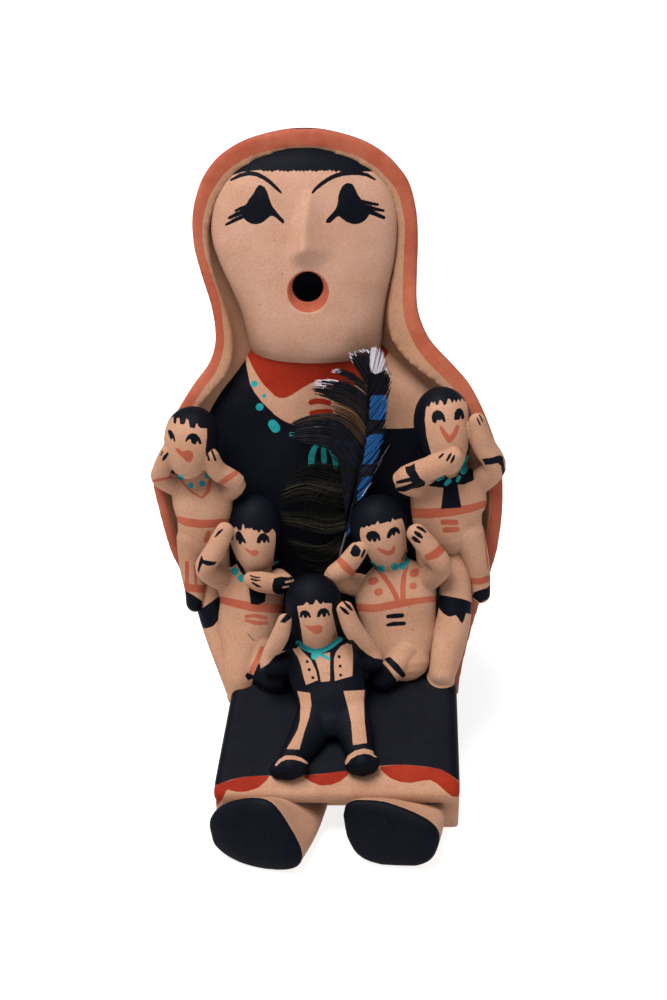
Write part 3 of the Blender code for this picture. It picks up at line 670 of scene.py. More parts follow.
def shawl_hollow(bm):
    """The space inside the open edge, a shallow bowl that runs down to the ground."""
    rings = []
    low, high = SHAWL[0][0], SHAWL[-1][0]
    squeeze = (high - RIM_TOP - low) / (high - low)
    thick = np.array(RIM)
    for z, left, right, rim, _ in smoothed(SHAWL, 5):
        height = low + (z - low) * squeeze - 0.5
        left += np.interp(height, thick[:, 0], thick[:, 1])
        right -= np.interp(height, thick[:, 0], thick[:, 2])
        middle = (left + right) / 2
        half = (right - left) / 2
        if half < 2.0:
            break
        ring = level_ring(height, middle - half, middle + half, rim - 12.0, rim, rim + HOLLOW_DEPTH, False)
        for place in ring:
            if place.y < rim:
                place.x = middle + math.copysign(half, place.x - middle)
        rings.append(ring)
    skin(bm, rings)


def oval_lump(bm, levels, back):
    """A closed lump through level ovals: height, left edge, right edge, front and widest plane."""
    skin(bm, [level_ring(*level, back, False) for level in levels])


def head(bm):
    oval_lump(bm, smoothed(HEAD, 5), HEAD_BACK)


def pinch_nose(bm):
    """Draws the nose out of the face, towards the eye of the front view."""
    points = np.array([vert.co for vert in bm.verts])
    flat = seen(points)
    rows = np.array(smoothed(NOSE, 6))
    ridge, left, right, height = (np.interp(flat[:, 1], rows[:, 0], rows[:, k]) for k in (1, 2, 3, 4))
    beside = flat[:, 0] - ridge
    share = np.abs(beside) / np.where(beside < 0.0, left, right)
    share = np.sqrt(share * share + NOSE_SOFT * NOSE_SOFT) - NOSE_SOFT
    lift = height * np.clip(1.0 - share, 0.0, 1.0) ** 1.5
    lift[points[:, 1] > HEAD_BACK / 2] = 0.0
    for vert, far in zip(bm.verts, lift):
        vert.co += (VIEW_EYE - vert.co).normalized() * far


def bore(bm, centre, near, far, start, end):
    """A round cutter into her face, with its near and far radius and how deep it starts and ends."""
    aim = Matrix.Rotation(math.radians(90.0 - MOUTH_UP), 4, "X")
    place = Matrix.Translation(Vector(centre)) @ aim @ Matrix.Translation((0.0, 0.0, -(start + end) / 2))
    deep = end - start
    bmesh.ops.create_cone(bm, cap_ends=True, segments=64, radius1=far, radius2=near, depth=deep, matrix=place)


def mouth_hole(bm):
    bore(bm, MOUTH, MOUTH_RADIUS, MOUTH_RADIUS * 0.9, -4.0, MOUTH_DEPTH)


def lip(bm):
    bore(bm, LIP, LIP_RADIUS + LIP_FLARE, MOUTH_RADIUS - 0.4, -1.2, LIP_DEPTH)


def chest(bm):
    oval_lump(bm, smoothed(CHEST, 5), CHEST_BACK)


def slab(bm, outline, left, right, rounding):
    """A slab with the side outline (y, z), from left to right, its edges rounded."""
    verts = [bm.verts.new((left, y, z)) for y, z in outline]
    face = bm.faces.new(verts)
    pushed = bmesh.ops.extrude_face_region(bm, geom=[face])["geom"]
    moved = [g for g in pushed if isinstance(g, bmesh.types.BMVert)]
    bmesh.ops.translate(bm, verts=moved, vec=(right - left, 0.0, 0.0))
    rims = [g for g in pushed if isinstance(g, bmesh.types.BMEdge)] + list(face.edges)
    bmesh.ops.bevel(bm, geom=rims, offset=rounding, segments=6, profile=0.5, affect="EDGES", material=-1)


def lap(bm):
    """Her skirt over her thighs, with side walls that come down to the ground."""
    whole = bmesh.new()
    slab(whole, LAP, LAP_LEFT_FRONT, LAP_RIGHT, LAP_ROUND)
    for left in (LAP_LEFT_FRONT, LAP_RIGHT - LAP_SIDE_WALL):
        slab(whole, LAP_SIDE, left, left + LAP_SIDE_WALL, 1.6)
    for vert in whole.verts:
        if vert.co.x < 0.0:
            start, end = LAP_LEFT_RUN
            share = min(max((vert.co.y - start) / (end - start), 0.0), 1.0)
            vert.co.x += (LAP_LEFT_BACK - LAP_LEFT_FRONT) * share
    add(bm, whole)


ARM_SIDES = 32


def arms(bm):
    for stations in ARMS.values():
        limb(bm, stations, outline=circle(ARM_SIDES))


def legs(bm):
    for name, stations in LEGS.items():
        outline = [(-across, along) for across, along in rounded(SOLES[name])]
        limb(bm, stations, steps=10, outline=outline, facing=UP, bulge=SOLE_ROUND)


def hair_rows(form):
    """The slab of hair behind a child's face, from inside its crown to its lower end."""
    centre, half_width, half_height, roll = form["head"]
    end, end_width = form["hair"]
    axes = tilted(FACE_TILT, roll)
    crown = Vector(centre) + axes @ Vector((0.0, half_width * 0.25, half_height * 0.2))
    deep = half_width * HAIR_THICK
    return [(*crown, half_width * 0.96, deep), (*end, end_width, deep * 0.7)]


BODY_SIDES = 40


def child(bm, form):
    centre, half_width, half_height, roll = form["head"]
    axes = tilted(FACE_TILT, roll)
    egg(bm, centre, (half_width, half_width * HEAD_DEPTH, half_height), axes, HEAD_TAPER)
    limb(bm, hair_rows(form), bulge=HAIR_BULGE)
    limb(bm, form["body"], outline=circle(BODY_SIDES))
    for stations in form["limbs"].values():
        limb(bm, stations)


# From lumps to a finished skin


def add(bm, other):
    """Puts the faces of another bmesh into bm."""
    scrap = bpy.data.meshes.new("scrap")
    bmesh.ops.recalc_face_normals(other, faces=other.faces)
    other.to_mesh(scrap)
    other.free()
    bm.from_mesh(scrap)
    bpy.data.meshes.remove(scrap)


def temporary(bm, name):
    """An object that is removed again once its modifiers have been read."""
    bmesh.ops.recalc_face_normals(bm, faces=bm.faces)
    mesh = bpy.data.meshes.new(name)
    bm.to_mesh(mesh)
    bm.free()
    obj = bpy.data.objects.new(name, mesh)
    bpy.context.scene.collection.objects.link(obj)
    return obj


def settled(obj):
    """The object's mesh with its modifiers applied, as a bmesh. The object is removed."""
    bpy.context.view_layer.update()
    depsgraph = bpy.context.evaluated_depsgraph_get()
    bm = bmesh.new()
    bm.from_object(obj, depsgraph)
    bpy.data.objects.remove(obj)
    return bm


def carved(body, cutter):
    """body less cutter."""
    kept = temporary(body, "carved_body")
    tool = temporary(cutter, "carving_tool")
    cut = kept.modifiers.new("carving", "BOOLEAN")
    cut.operation = "DIFFERENCE"
    cut.object = tool
    left = settled(kept)
    bpy.data.objects.remove(tool)
    return left


def shape(*makers):
    bm = bmesh.new()
    for make in makers:
        make(bm)
    return bm


def joined(lumps, grain, rubs):
    """The lumps remeshed as one skin and rubbed smooth."""
    obj = temporary(lumps, "lumps")
    remesh = obj.modifiers.new("joining", "REMESH")
    remesh.mode = "VOXEL"
    remesh.voxel_size = grain
    rub = obj.modifiers.new("rubbing", "SMOOTH")
    rub.factor = 0.5
    rub.iterations = rubs
    return settled(obj)


def stand(bm):
    """Cuts the underside flat at z = 0."""
    cut = bmesh.ops.bisect_plane(
        bm,
        geom=bm.verts[:] + bm.edges[:] + bm.faces[:],
        dist=0.05,
        plane_co=(0, 0, 0),
        plane_no=(0, 0, -1),
        clear_outer=True,
    )
    rims = [g for g in cut["geom_cut"] if isinstance(g, bmesh.types.BMEdge) and g.is_boundary]
    bmesh.ops.holes_fill(bm, edges=rims, sides=0)


def finished(bm, name):
    """The form as an object at the origin, in metres, with its place in its mesh."""
    bmesh.ops.translate(bm, verts=bm.verts, vec=(-CENTRE_X, -CENTRE_Y, 0.0))
    bmesh.ops.transform(bm, matrix=Matrix.Scale(MM, 4), verts=bm.verts)
    mesh = bpy.data.meshes.new(name)
    bm.to_mesh(mesh)
    bm.free()
    mesh.shade_smooth()
    obj = bpy.data.objects.new(name, mesh)
    bpy.context.scene.collection.objects.link(obj)
    return obj


# Paint

HAIR_FROM = 39.0  # all of her head is black behind this depth
TURNED_AWAY = 0.08  # skin that faces the eye less than this takes no paint given in the front view
AWAY_GROWTH = 3.0


def seen(points):
    """Where points in millimetres lie in the front view."""
    out = points - np.array(VIEW_EYE)
    depth = out @ np.array(VIEW_AIM)
    across = VIEW_WIDTH / 2 + VIEW_SCALE * out[:, 0] / depth
    down = VIEW_HEIGHT / 2 - VIEW_SCALE * (out @ np.array(VIEW_UP)) / depth
    return np.stack([across, down], axis=1)


def off_line(flat, line, width):
    """How far points of the view are outside a stroke, in mm. A row may add its own width as a third."""
    best = np.full(len(flat), FAR)
    rows = [(*row, width)[:3] if len(row) == 2 else row for row in line]
    for (ax, ay, aw), (bx, by, bw) in zip(rows, rows[1:]):
        start = np.array((ax, ay))
        run = np.array((bx - ax, by - ay))
        length = max(float(run @ run), 1e-6)
        share = np.clip(((flat - start) @ run) / length, 0.0, 1.0)
        gap = np.linalg.norm(flat - start - share[:, None] * run, axis=1) - (aw + (bw - aw) * share) / 2
        best = np.minimum(best, gap * VIEW_UNIT)
    return best


def off_curve(flat, line):
    """How far points of a plane are from a line of points in it, in mm."""
    best = np.full(len(flat), 1e3)
    for first, second in zip(line, line[1:]):
        start, run = np.array(first), np.array(second) - np.array(first)
        share = np.clip(((flat - start) @ run) / max(float(run @ run), 1e-6), 0.0, 1.0)
        best = np.minimum(best, np.linalg.norm(flat - start - share[:, None] * run, axis=1))
    return best


def off_patch(flat, outline):
    """How far points of the view are outside a closed outline, in mm: less than 0 inside."""
    ring = list(outline) + [outline[0]]
    edge = off_line(flat, ring, 0.0)
    inside = np.zeros(len(flat), bool)
    for (ax, ay), (bx, by) in zip(ring, ring[1:]):
        if ay == by:
            continue
        crosses = (flat[:, 1] > min(ay, by)) & (flat[:, 1] <= max(ay, by))
        inside ^= crosses & (flat[:, 0] < ax + (flat[:, 1] - ay) / (by - ay) * (bx - ax))
    return np.where(inside, -edge, edge)


def off_limb(points, stations, facing=(0.0, -0.883, 0.469)):
    """About how far points are outside a limb, in mm."""
    best = np.full(len(points), 1e3)
    for place, way, side, front, wide, deep in cuts_along(stations, 6, facing):
        out = points - np.array(place)
        far = ((out @ np.array(side)) / wide) ** 2 + ((out @ np.array(front)) / deep) ** 2
        far += ((out @ np.array(way)) / ((wide + deep) / 2)) ** 2
        best = np.minimum(best, (np.sqrt(far) - 1.0) * (wide + deep) / 2)
    return best


def off_egg(points, centre, half, axes, taper):
    """About how far points are outside an egg, in mm."""
    local = (points - np.array(centre)) @ np.array(axes)
    up = local[:, 2] / half[2]
    spread = 1.0 + taper * np.clip(up, -1.0, 1.0)
    far = (local[:, 0] / (half[0] * spread)) ** 2 + (local[:, 1] / (half[1] * spread)) ** 2 + up**2
    return (np.sqrt(far) - 1.0) * (half[0] + half[2]) / 2


class Coat:
    """The paint on one piece, layer by layer, as distances outside the paint in mm."""

    def __init__(self, bm, lumps=None):
        self.points = np.array([vert.co for vert in bm.verts])
        bm.normal_update()
        self.normals = np.array([vert.normal for vert in bm.verts])
        self.flat = seen(self.points)
        to_eye = np.array(VIEW_EYE) - self.points
        to_eye /= np.linalg.norm(to_eye, axis=1)[:, None]
        self.hidden = (TURNED_AWAY - (self.normals * to_eye).sum(axis=1)) * AWAY_GROWTH
        self.lumps = {name: off(self.points) for name, off in (lumps or {}).items()}
        self.layers = {name: np.full(len(self.points), FAR) for name in PAINTS}

    def within(self, names):
        """How far each point is outside the lumps with these names, as against the other lumps."""
        mine = np.min([self.lumps[name] for name in names], axis=0)
        rest = [off for name, off in self.lumps.items() if name not in names]
        return mine - np.min(rest, axis=0) if rest else mine * 0.0 - FAR

    def bounded(self, off, names, front):
        if names:
            off = np.maximum(off, self.within(names))
        return np.maximum(off, self.hidden) if front else off

    def lay(self, paint, off, names=(), front=True):
        """Adds paint where off is below 0."""
        self.layers[paint] = np.minimum(self.layers[paint], self.bounded(off, names, front))

    def clear(self, paint, off, names=(), front=True):
        """Takes paint off where off is below 0."""
        self.layers[paint] = np.maximum(self.layers[paint], -self.bounded(off, names, front))

    def cover(self, paint, names=()):
        """Paints whole lumps, or the whole piece."""
        whole = np.full(len(self.points), -FAR)
        self.lay(paint, whole, names, front=False)

    def stroke(self, paint, line, width, names=()):
        self.lay(paint, off_line(self.flat, line, width), names)

    def dots(self, paint, spots, names=()):
        """Round spots of paint: across, down and width of each."""
        for x, y, width in spots:
            self.stroke(paint, [(x, y), (x + 0.3, y + 0.3)], width, names)

    def patch(self, paint, outline, names=()):
        self.lay(paint, off_patch(self.flat, outline), names)

    def patches(self, paint, outlines, names=()):
        for outline in outlines:
            self.patch(paint, outline, names)

    def strokes(self, paint, lines, names=()):
        """Strokes whose rows give their own widths."""
        for line in lines:
            self.stroke(paint, line, 1.0, names)

    def bare_stroke(self, paint, line, width, names=()):
        self.clear(paint, off_line(self.flat, line, width), names)

    def bare_patch(self, paint, outline, names=()):
        self.clear(paint, off_patch(self.flat, outline), names)

    def keep(self, obj):
        """Writes the layers to the finished object."""
        for name, off in self.layers.items():
            made = obj.data.attributes.new(name, "FLOAT", "POINT")
            made.data.foreach_set("value", np.clip(off, -FAR, FAR).astype(np.float32))


def child_lumps(form):
    """For each lump of a child, what measures how far points are outside it."""
    centre, half_width, half_height, roll = form["head"]
    half = (half_width, half_width * HEAD_DEPTH, half_height)
    axes = tilted(FACE_TILT, roll)
    lumps = {
        "head": lambda p: off_egg(p, centre, half, axes, HEAD_TAPER),
        "hair": lambda p: off_limb(p, hair_rows(form)),
        "body": lambda p: off_limb(p, form["body"]),
    }
    for name, stations in form["limbs"].items():
        lumps[name] = lambda p, rows=stations: off_limb(p, rows)
    return lumps


TRUNK = ("head", "hair", "body")
BARE = ("body", "left_leg", "right_leg")
FACE = ("head",)


def paint_middle(coat):
    """The child in black in the middle, with a tan waistcoat, side stripes and a turquoise scarf."""
    coat.cover("black")
    face = [
        (297, 606), (303, 605.5), (305, 604), (306, 602), (308, 603), (309.5, 605), (311.5, 604.5),
        (313, 605),
        (314.5, 602.5), (315.5, 600), (317, 600), (318.5, 602.5), (320, 604), (322, 604), (323, 601.5),
        (325, 603.5), (328, 603), (332, 603.5), (332, 611), (334.5, 622), (338, 637), (330, 648), (320, 651),
        (310, 649), (303, 643), (301.5, 632), (299, 617),
    ]
    coat.bare_patch("black", face, TRUNK)
    left_hand = [
        (250, 590), (300, 590), (300, 640), (292, 645), (285, 651), (275, 656), (268, 664), (262, 668),
        (250, 674),
    ]
    coat.clear("black", off_patch(coat.flat, left_hand), ("left_arm",), front=False)
    right_hand = [
        (330, 590), (375, 590), (400, 620), (400, 662), (385, 660), (374, 658), (367, 654), (360, 648),
        (353, 640),
        (336, 640),
    ]
    coat.clear("black", off_patch(coat.flat, right_hand), ("right_arm",), front=False)
    coat.patches("black", [
        [(299.6, 617), (300.1, 612.4), (303.2, 610.1), (306.2, 610.4), (309.3, 612.4), (311.6, 617.8),
         (308.8, 617.8), (307.8, 614.7), (306.7, 618.2), (304.2, 617.8), (303.2, 614.7), (301.6, 617.8)],
        [(316.9, 617), (317.7, 611.6), (320.7, 608.6), (325.3, 607.8), (328.4, 610.1), (330.2, 615.5),
         (328.1, 615.8), (326.9, 612.4), (325.6, 617), (323, 617), (322, 613.2), (319.2, 617.8)],
    ], FACE)
    mouth = [
        (303.6, 624.3), (307.8, 625.4), (313.1, 626.2), (316.2, 624.9), (320.7, 624.6), (323, 627.7),
        (322.3, 631.5), (318.5, 634.1), (313.9, 633.8), (310, 630.8), (305.5, 626.9),
    ]
    coat.patch("terracotta", mouth, FACE)
    coat.stroke("turquoise", [(298, 643), (305, 648), (314, 651.5), (324, 650), (333, 644.5),
                              (340, 639)], 5.0, TRUNK)
    coat.dots("turquoise", [(314.5, 656, 7.0)], TRUNK)
    coat.strokes("turquoise", [[(319, 654, 3), (325, 656.5, 3.5), (329, 659, 3)]], TRUNK)
    left_panel = [
        (291, 646), (297, 644.5), (303, 652), (311, 660), (316, 671), (318, 680), (306, 685), (303, 675),
        (301, 666), (298, 658),
    ]
    middle_panel = [(314, 656), (330, 652), (330, 681), (321, 682), (319, 671)]
    right_panel = [
        (336, 652), (341, 646), (347, 643), (352, 645), (353, 655), (352.5, 676), (341, 679), (335, 681),
        (334, 668), (334, 658),
    ]
    left_stripe = [
        (297, 691), (310, 693), (311.5, 705), (309, 718), (304, 733), (299.5, 749.5), (286.5, 749),
        (292, 740),
        (297.5, 730), (300, 720), (300.5, 706), (299.5, 699),
    ]
    right_stripe = [
        (343.5, 691), (365, 690), (364, 700), (364.5, 720), (367, 743), (353, 745), (351, 722), (348, 708),
    ]
    for outline in (left_panel, middle_panel, right_panel):
        coat.bare_patch("black", outline, ("body",))
    for outline in (left_stripe, right_stripe):
        coat.bare_patch("black", outline, BARE)
    buttons = [(307, 661.5), (309, 669.5), (312.7, 677.5), (339, 656.5), (340, 666), (340.5, 675)]
    coat.dots("black", [(x, y, 3.0) for x, y in buttons], ("body",))
    shoes = ("left_leg", "right_leg", "left_shoe", "right_shoe")
    left_strap = [(276, 765, 2), (280, 760.5, 3), (286, 757.5, 4), (294, 757.5, 4), (301, 759.5, 3.4),
                  (307, 763, 2)]
    right_strap = [(346, 763, 3), (349, 757.5, 4.4), (356, 753, 5), (364, 751, 5), (371, 752.5, 4.4),
                   (376, 756, 3)]
    coat.bare_stroke("black", left_strap, 1.0, shoes)
    coat.bare_stroke("black", right_strap, 1.0, shoes)
    coat.strokes("black", [
        [(281, 622, 1.8), (286, 615.5, 1.8)], [(284.5, 621, 4), (288.5, 617, 5)],
        [(286, 616, 1.8), (289, 613, 1.8)],
    ], ("left_arm",))
    coat.strokes("black", [
        [(340.5, 607, 2), (345, 611, 4), (348.5, 614, 2)], [(344, 602, 2), (348.5, 606.5, 3.5),
                                                            (352, 610, 2)],
    ], ("right_arm",))


def paint_upper_left(coat):
    coat.cover("black", ("head", "hair"))
    face = [
        (155, 423), (168, 423), (170, 419), (173.5, 416.5), (173.5, 423), (176, 424), (177, 418),
        (179.5, 418),
        (180, 424), (184.5, 424.5), (186.5, 418), (188.5, 420.5), (190, 427.5), (195, 428.5), (196.5, 422),
        (198, 425.5), (200, 428), (207, 428.5), (207, 438), (205.5, 450), (206.5, 462), (208, 472),
        (204, 484),
        (186, 490), (172, 486), (160, 470), (153, 448),
    ]
    coat.clear("black", off_patch(coat.flat, face), ("head", "hair"), front=False)
    coat.patches("black", [
        [(167.5, 431), (169.5, 429.5), (172, 431), (174.5, 435.5), (175.5, 441.5), (173.8, 441.5),
         (172.8, 438),
         (171, 440), (169.5, 437), (168.5, 434)],
        [(185, 441), (187.5, 435.5), (192, 433), (196.5, 434), (200, 438), (202, 443.5), (199.5, 444.5),
         (197.5, 440.5), (195.5, 445), (191.5, 443), (190.5, 439), (188, 440), (186.5, 442.5)],
    ], FACE)
    mouth = [
        (174.6, 447.1), (178.4, 448.7), (183, 451.7), (186.1, 450.5), (190.2, 450.2), (193.5, 454),
        (192.7, 459.4),
        (190.2, 462.2), (186.1, 461.7), (183, 457.9), (177.6, 453.3),
    ]
    coat.patch("terracotta", mouth, FACE)
    coat.dots("turquoise", [(180.5, 477, 5.5), (190.5, 485.5, 5.5), (202, 483.5, 6),
                            (207.5, 476, 5.5)], TRUNK)
    necklace = [(177, 474, 1.5), (184, 484, 2), (192, 492, 2.5), (202, 498, 2), (208, 491, 5),
                (210.5, 480, 4)]
    coat.strokes("terracotta", [necklace], TRUNK)
    coat.strokes("terracotta", [
        [(178, 519, 6), (186, 522, 8), (200, 524, 8.5), (215, 523.5, 8), (232, 521, 6)],
        [(208.5, 533, 5), (206, 540, 5)],
        [(187, 563, 4), (187, 586, 4)],
        [(195, 566, 3), (196, 584, 3)],
        [(184, 587, 8), (195, 588.5, 8), (206, 589, 8)],
    ], BARE)
    shoe = [(183, 593), (186, 591), (194, 595.5), (202, 601), (203, 612), (198, 618), (190, 612), (184, 603)]
    coat.patch("black", shoe, BARE)
    coat.strokes("black", [
        [(168, 453, 2), (165, 457, 4), (163, 460, 2)], [(163, 451, 1), (161, 455, 1.5)],
    ], ("left_arm",))
    coat.strokes("terracotta", [[(150, 483, 2), (157, 480, 3), (165, 479, 3), (170, 477, 2)]], ("left_arm",))
    coat.strokes("black", [
        [(206.5, 451, 1.5), (209, 460, 2.5)], [(212, 451, 2), (215.5, 460, 2.5)],
    ], ("right_arm",))
    band = [(211, 487, 4), (220, 484, 5), (228, 478, 6), (236, 473, 5)]
    coat.strokes("terracotta", [band], ("right_arm",))


def paint_upper_right(coat):
    coat.cover("black", ("head", "hair"))
    face = [
        (425.5, 410), (427, 405.5), (428.5, 407), (430, 405), (431.5, 401.5), (433.5, 404), (434.5, 401),
        (436, 405), (438, 405), (440, 399.5), (442.5, 402), (444, 405.5), (446.5, 404), (448, 398.5),
        (450.5, 399.5), (452, 403.5), (454.5, 399), (456, 403), (458.5, 398.5), (460, 402), (462, 398),
        (464, 401),
        (466.5, 401), (468.5, 412), (469, 430), (468, 448), (463, 466), (457, 475), (450, 478), (443, 474),
        (434, 462), (430, 450), (426.5, 436), (424.8, 420),
    ]
    coat.bare_patch("black", face, ("head", "hair"))
    coat.patches("black", [
        [(431.6, 417.3), (432.8, 412.6), (436.8, 409.8), (441.1, 411), (444.3, 414.9), (445.9, 422),
         (443.3, 422),
         (441.8, 419.2), (439.9, 420.7), (437.5, 419.6), (435.5, 423.9), (432.5, 422)],
        [(454, 419.6), (454.5, 412.6), (457.1, 408.7), (460.3, 407.9), (463.1, 410.7), (464.7, 417.3),
         (463.1, 419.6), (461.5, 419.2), (460.6, 415), (460, 419.6), (457.5, 419.6), (456.4, 420.4)],
    ], FACE)
    mouth = [(441, 427.5, 3), (444, 433, 4.5), (449.5, 440, 6), (454, 435, 5), (457.5, 427, 4)]
    coat.strokes("terracotta", [mouth], FACE)
    scarf = [
        (428, 486), (436, 480), (443, 474), (450, 479), (456, 476), (462, 468), (467, 457), (470, 451),
        (473, 470),
        (474, 480), (464, 484.5), (457.5, 484.5), (459, 494), (461.5, 507.5), (441, 509), (443.5, 488),
    ]
    coat.patch("black", scarf, TRUNK)
    coat.strokes("turquoise", [
        [(438, 480, 3), (443, 477, 3.5)], [(446, 484, 4), (449, 481, 5)], [(457.5, 481, 3), (459, 477, 4)],
        [(463, 471.5, 6), (467, 464, 8), (468.5, 457, 4)],
    ], TRUNK)
    coat.strokes("terracotta", [
        [(410, 513, 10), (430, 513.5, 10), (450, 512, 9), (470, 508.5, 8), (484, 504, 7)],
        [(443, 522, 5.5), (456, 522.5, 5.5)],
        [(445, 530, 5.5), (457, 529.5, 5.5)],
        [(482.5, 512, 1.6), (484, 530, 1.6), (486, 550, 1.6), (488, 568, 1.6)],
        [(470, 581, 6.5), (480, 581.5, 6.5), (490, 578, 6.5)],
    ], BARE)
    shoe = [(472.5, 597), (473.5, 592.5), (480, 590), (487, 588), (492, 583), (494, 596), (480, 603)]
    coat.patch("black", shoe, BARE)
    cuff = [
        (405, 467), (411, 465.5), (414.5, 463), (415.5, 470), (420, 478), (428, 484), (420, 487.5),
        (412, 489),
        (404, 492), (397, 491), (396, 488), (405, 485.5), (412, 483), (411, 481.5), (404, 483), (397, 484),
        (395.5, 481.5), (403, 479), (410, 477.5), (406, 472.5),
    ]
    coat.patch("black", cuff, ("left_arm",))
    coat.strokes("black", [
        [(439.5, 457.5, 2.5), (443, 454, 2)], [(447, 460.5, 2), (449.5, 456, 3), (451, 453.5, 1.5)],
        [(451, 462.5, 2), (453, 459, 3), (454.5, 455.5, 1.5)],
    ], ("left_arm",))
    coat.strokes("black", [
        [(479.5, 415, 1.5), (482.5, 421, 1.5)], [(477, 418, 1.5), (480, 424.5, 1.8)],
    ], ("right_arm",))
    cuff = [
        (482, 459), (492, 457.5), (500, 455), (503, 457), (505, 470), (503, 478), (501, 466), (498, 463),
        (491, 464.5), (485, 465),
    ]
    coat.patch("black", cuff, ("right_arm",))


def paint_inner_left(coat):
    coat.cover("black", ("head", "hair"))
    face = [
        (222, 540), (233, 540), (233, 530), (234, 528), (236, 526.5), (238, 530), (241.5, 530.5),
        (242.5, 524.5),
        (243.5, 524), (245, 529), (248, 528), (249.5, 529.5), (251.5, 527.5), (253.5, 530.5), (257, 530),
        (258.5, 533), (260, 531.5), (261.5, 529.5), (264, 532.5), (267, 533.5), (270, 531.5), (272.5, 528.5),
        (275.8, 533), (275.5, 543), (274, 555), (274, 562), (277, 568), (274, 576), (262, 576), (250, 573.5),
        (243, 568), (238, 560), (226, 560),
    ]
    coat.bare_patch("black", face, ("head", "hair"))
    coat.strokes("black", [[(231, 558, 3.5), (234, 562, 3.5), (238, 569, 3.5)]], ("head", "hair"))
    coat.patches("black", [
        [(235.5, 537), (236, 532.5), (238.5, 530.5), (241, 532.5), (244, 538), (246.5, 543.5), (244.5, 543.5),
         (242.5, 541), (241, 545), (238.8, 543.5), (238, 540), (236.8, 541.5)],
        [(256.5, 542.8), (257.3, 537.5), (260.6, 533.7), (265, 533), (268.8, 536.7), (269.6, 542.8),
         (267.8, 542.8), (266.6, 539.8), (265, 543.5), (263.3, 542.7), (262, 539.8), (259.8, 543.8)],
    ], FACE)
    mouth = [
        (242.8, 547.3), (247, 548.5), (251.5, 551), (255, 549.5), (258.5, 551), (258.8, 553.5), (256, 556.3),
        (252.5, 556), (248, 552.5),
    ]
    coat.patch("terracotta", mouth, FACE)
    coat.dots("turquoise", [(234.5, 571, 8.0), (241.5, 578, 8.0)], TRUNK)
    coat.strokes("turquoise", [[(277, 564, 6), (276.5, 570, 6)]], TRUNK)
    coat.strokes("black", [[(238, 562, 4), (242, 570, 4), (247, 578, 3.5), (250, 586, 4)]], ("body",))
    neck = [(248, 581), (252, 585), (258, 589), (266, 594), (265, 602), (258, 605), (251, 604), (249.5, 594)]
    coat.patch("black", neck, ("body",))
    coat.strokes("terracotta", [
        [(222, 600, 7), (236, 603.5, 8), (252, 607, 9), (268, 608, 9), (284, 609, 9)],
        [(246, 616.5, 3.5), (255, 615.5, 4), (266, 618, 4)],
        [(246, 620.5, 3), (256, 623, 4.5), (267, 623, 3.5)],
        [(262, 648, 4), (258, 658, 5), (253, 668, 5.5), (250, 675, 4)],
    ], ("body", "right_leg"))
    coat.strokes("black", [[(248, 634, 0.9), (254, 641, 0.9)]], ("body",))
    shoe = [(253, 676), (258, 664), (266, 658), (300, 655), (300, 705), (245, 705), (246, 694), (252, 686)]
    toe = [(245, 676), (247, 672.5), (251, 674), (255, 676), (252, 679), (248, 680.5)]
    coat.patches("black", [shoe, toe], ("right_leg", "body"))
    coat.strokes("black", [[(215.5, 536.5, 1.5), (219, 532.5, 3), (222.5, 529.5, 1.5)]], ("left_arm",))
    cuff = [
        (201.5, 555), (203.5, 560), (210, 561), (217, 562), (214.5, 565), (208, 566), (202.5, 563.5),
        (200, 569),
        (199, 573.5), (197.5, 570), (199, 562),
    ]
    coat.patch("black", cuff, ("left_arm",))
    coat.strokes("black", [
        [(250, 575.5, 1.5), (256, 577.5, 1.8), (260, 577.5, 1.2)],
        [(251, 579, 1.8), (256, 580.5, 2), (260.5, 580, 1)],
        [(252, 582.5, 1.8), (257, 585.5, 2.6), (260.5, 587, 1.5)],
    ], ("right_arm",))
    cuff = [
        (273, 592), (272, 586), (274, 578.5), (281, 576.5), (288, 577.5), (300, 574), (300, 596), (280, 596),
    ]
    coat.patch("black", cuff, ("right_arm",))
    coat.bare_stroke("black", [(286, 582), (292, 581), (297, 578)], 2.2, ("right_arm",))
    coat.bare_stroke("black", [(283, 587.5), (289, 586.5)], 1.8, ("right_arm",))


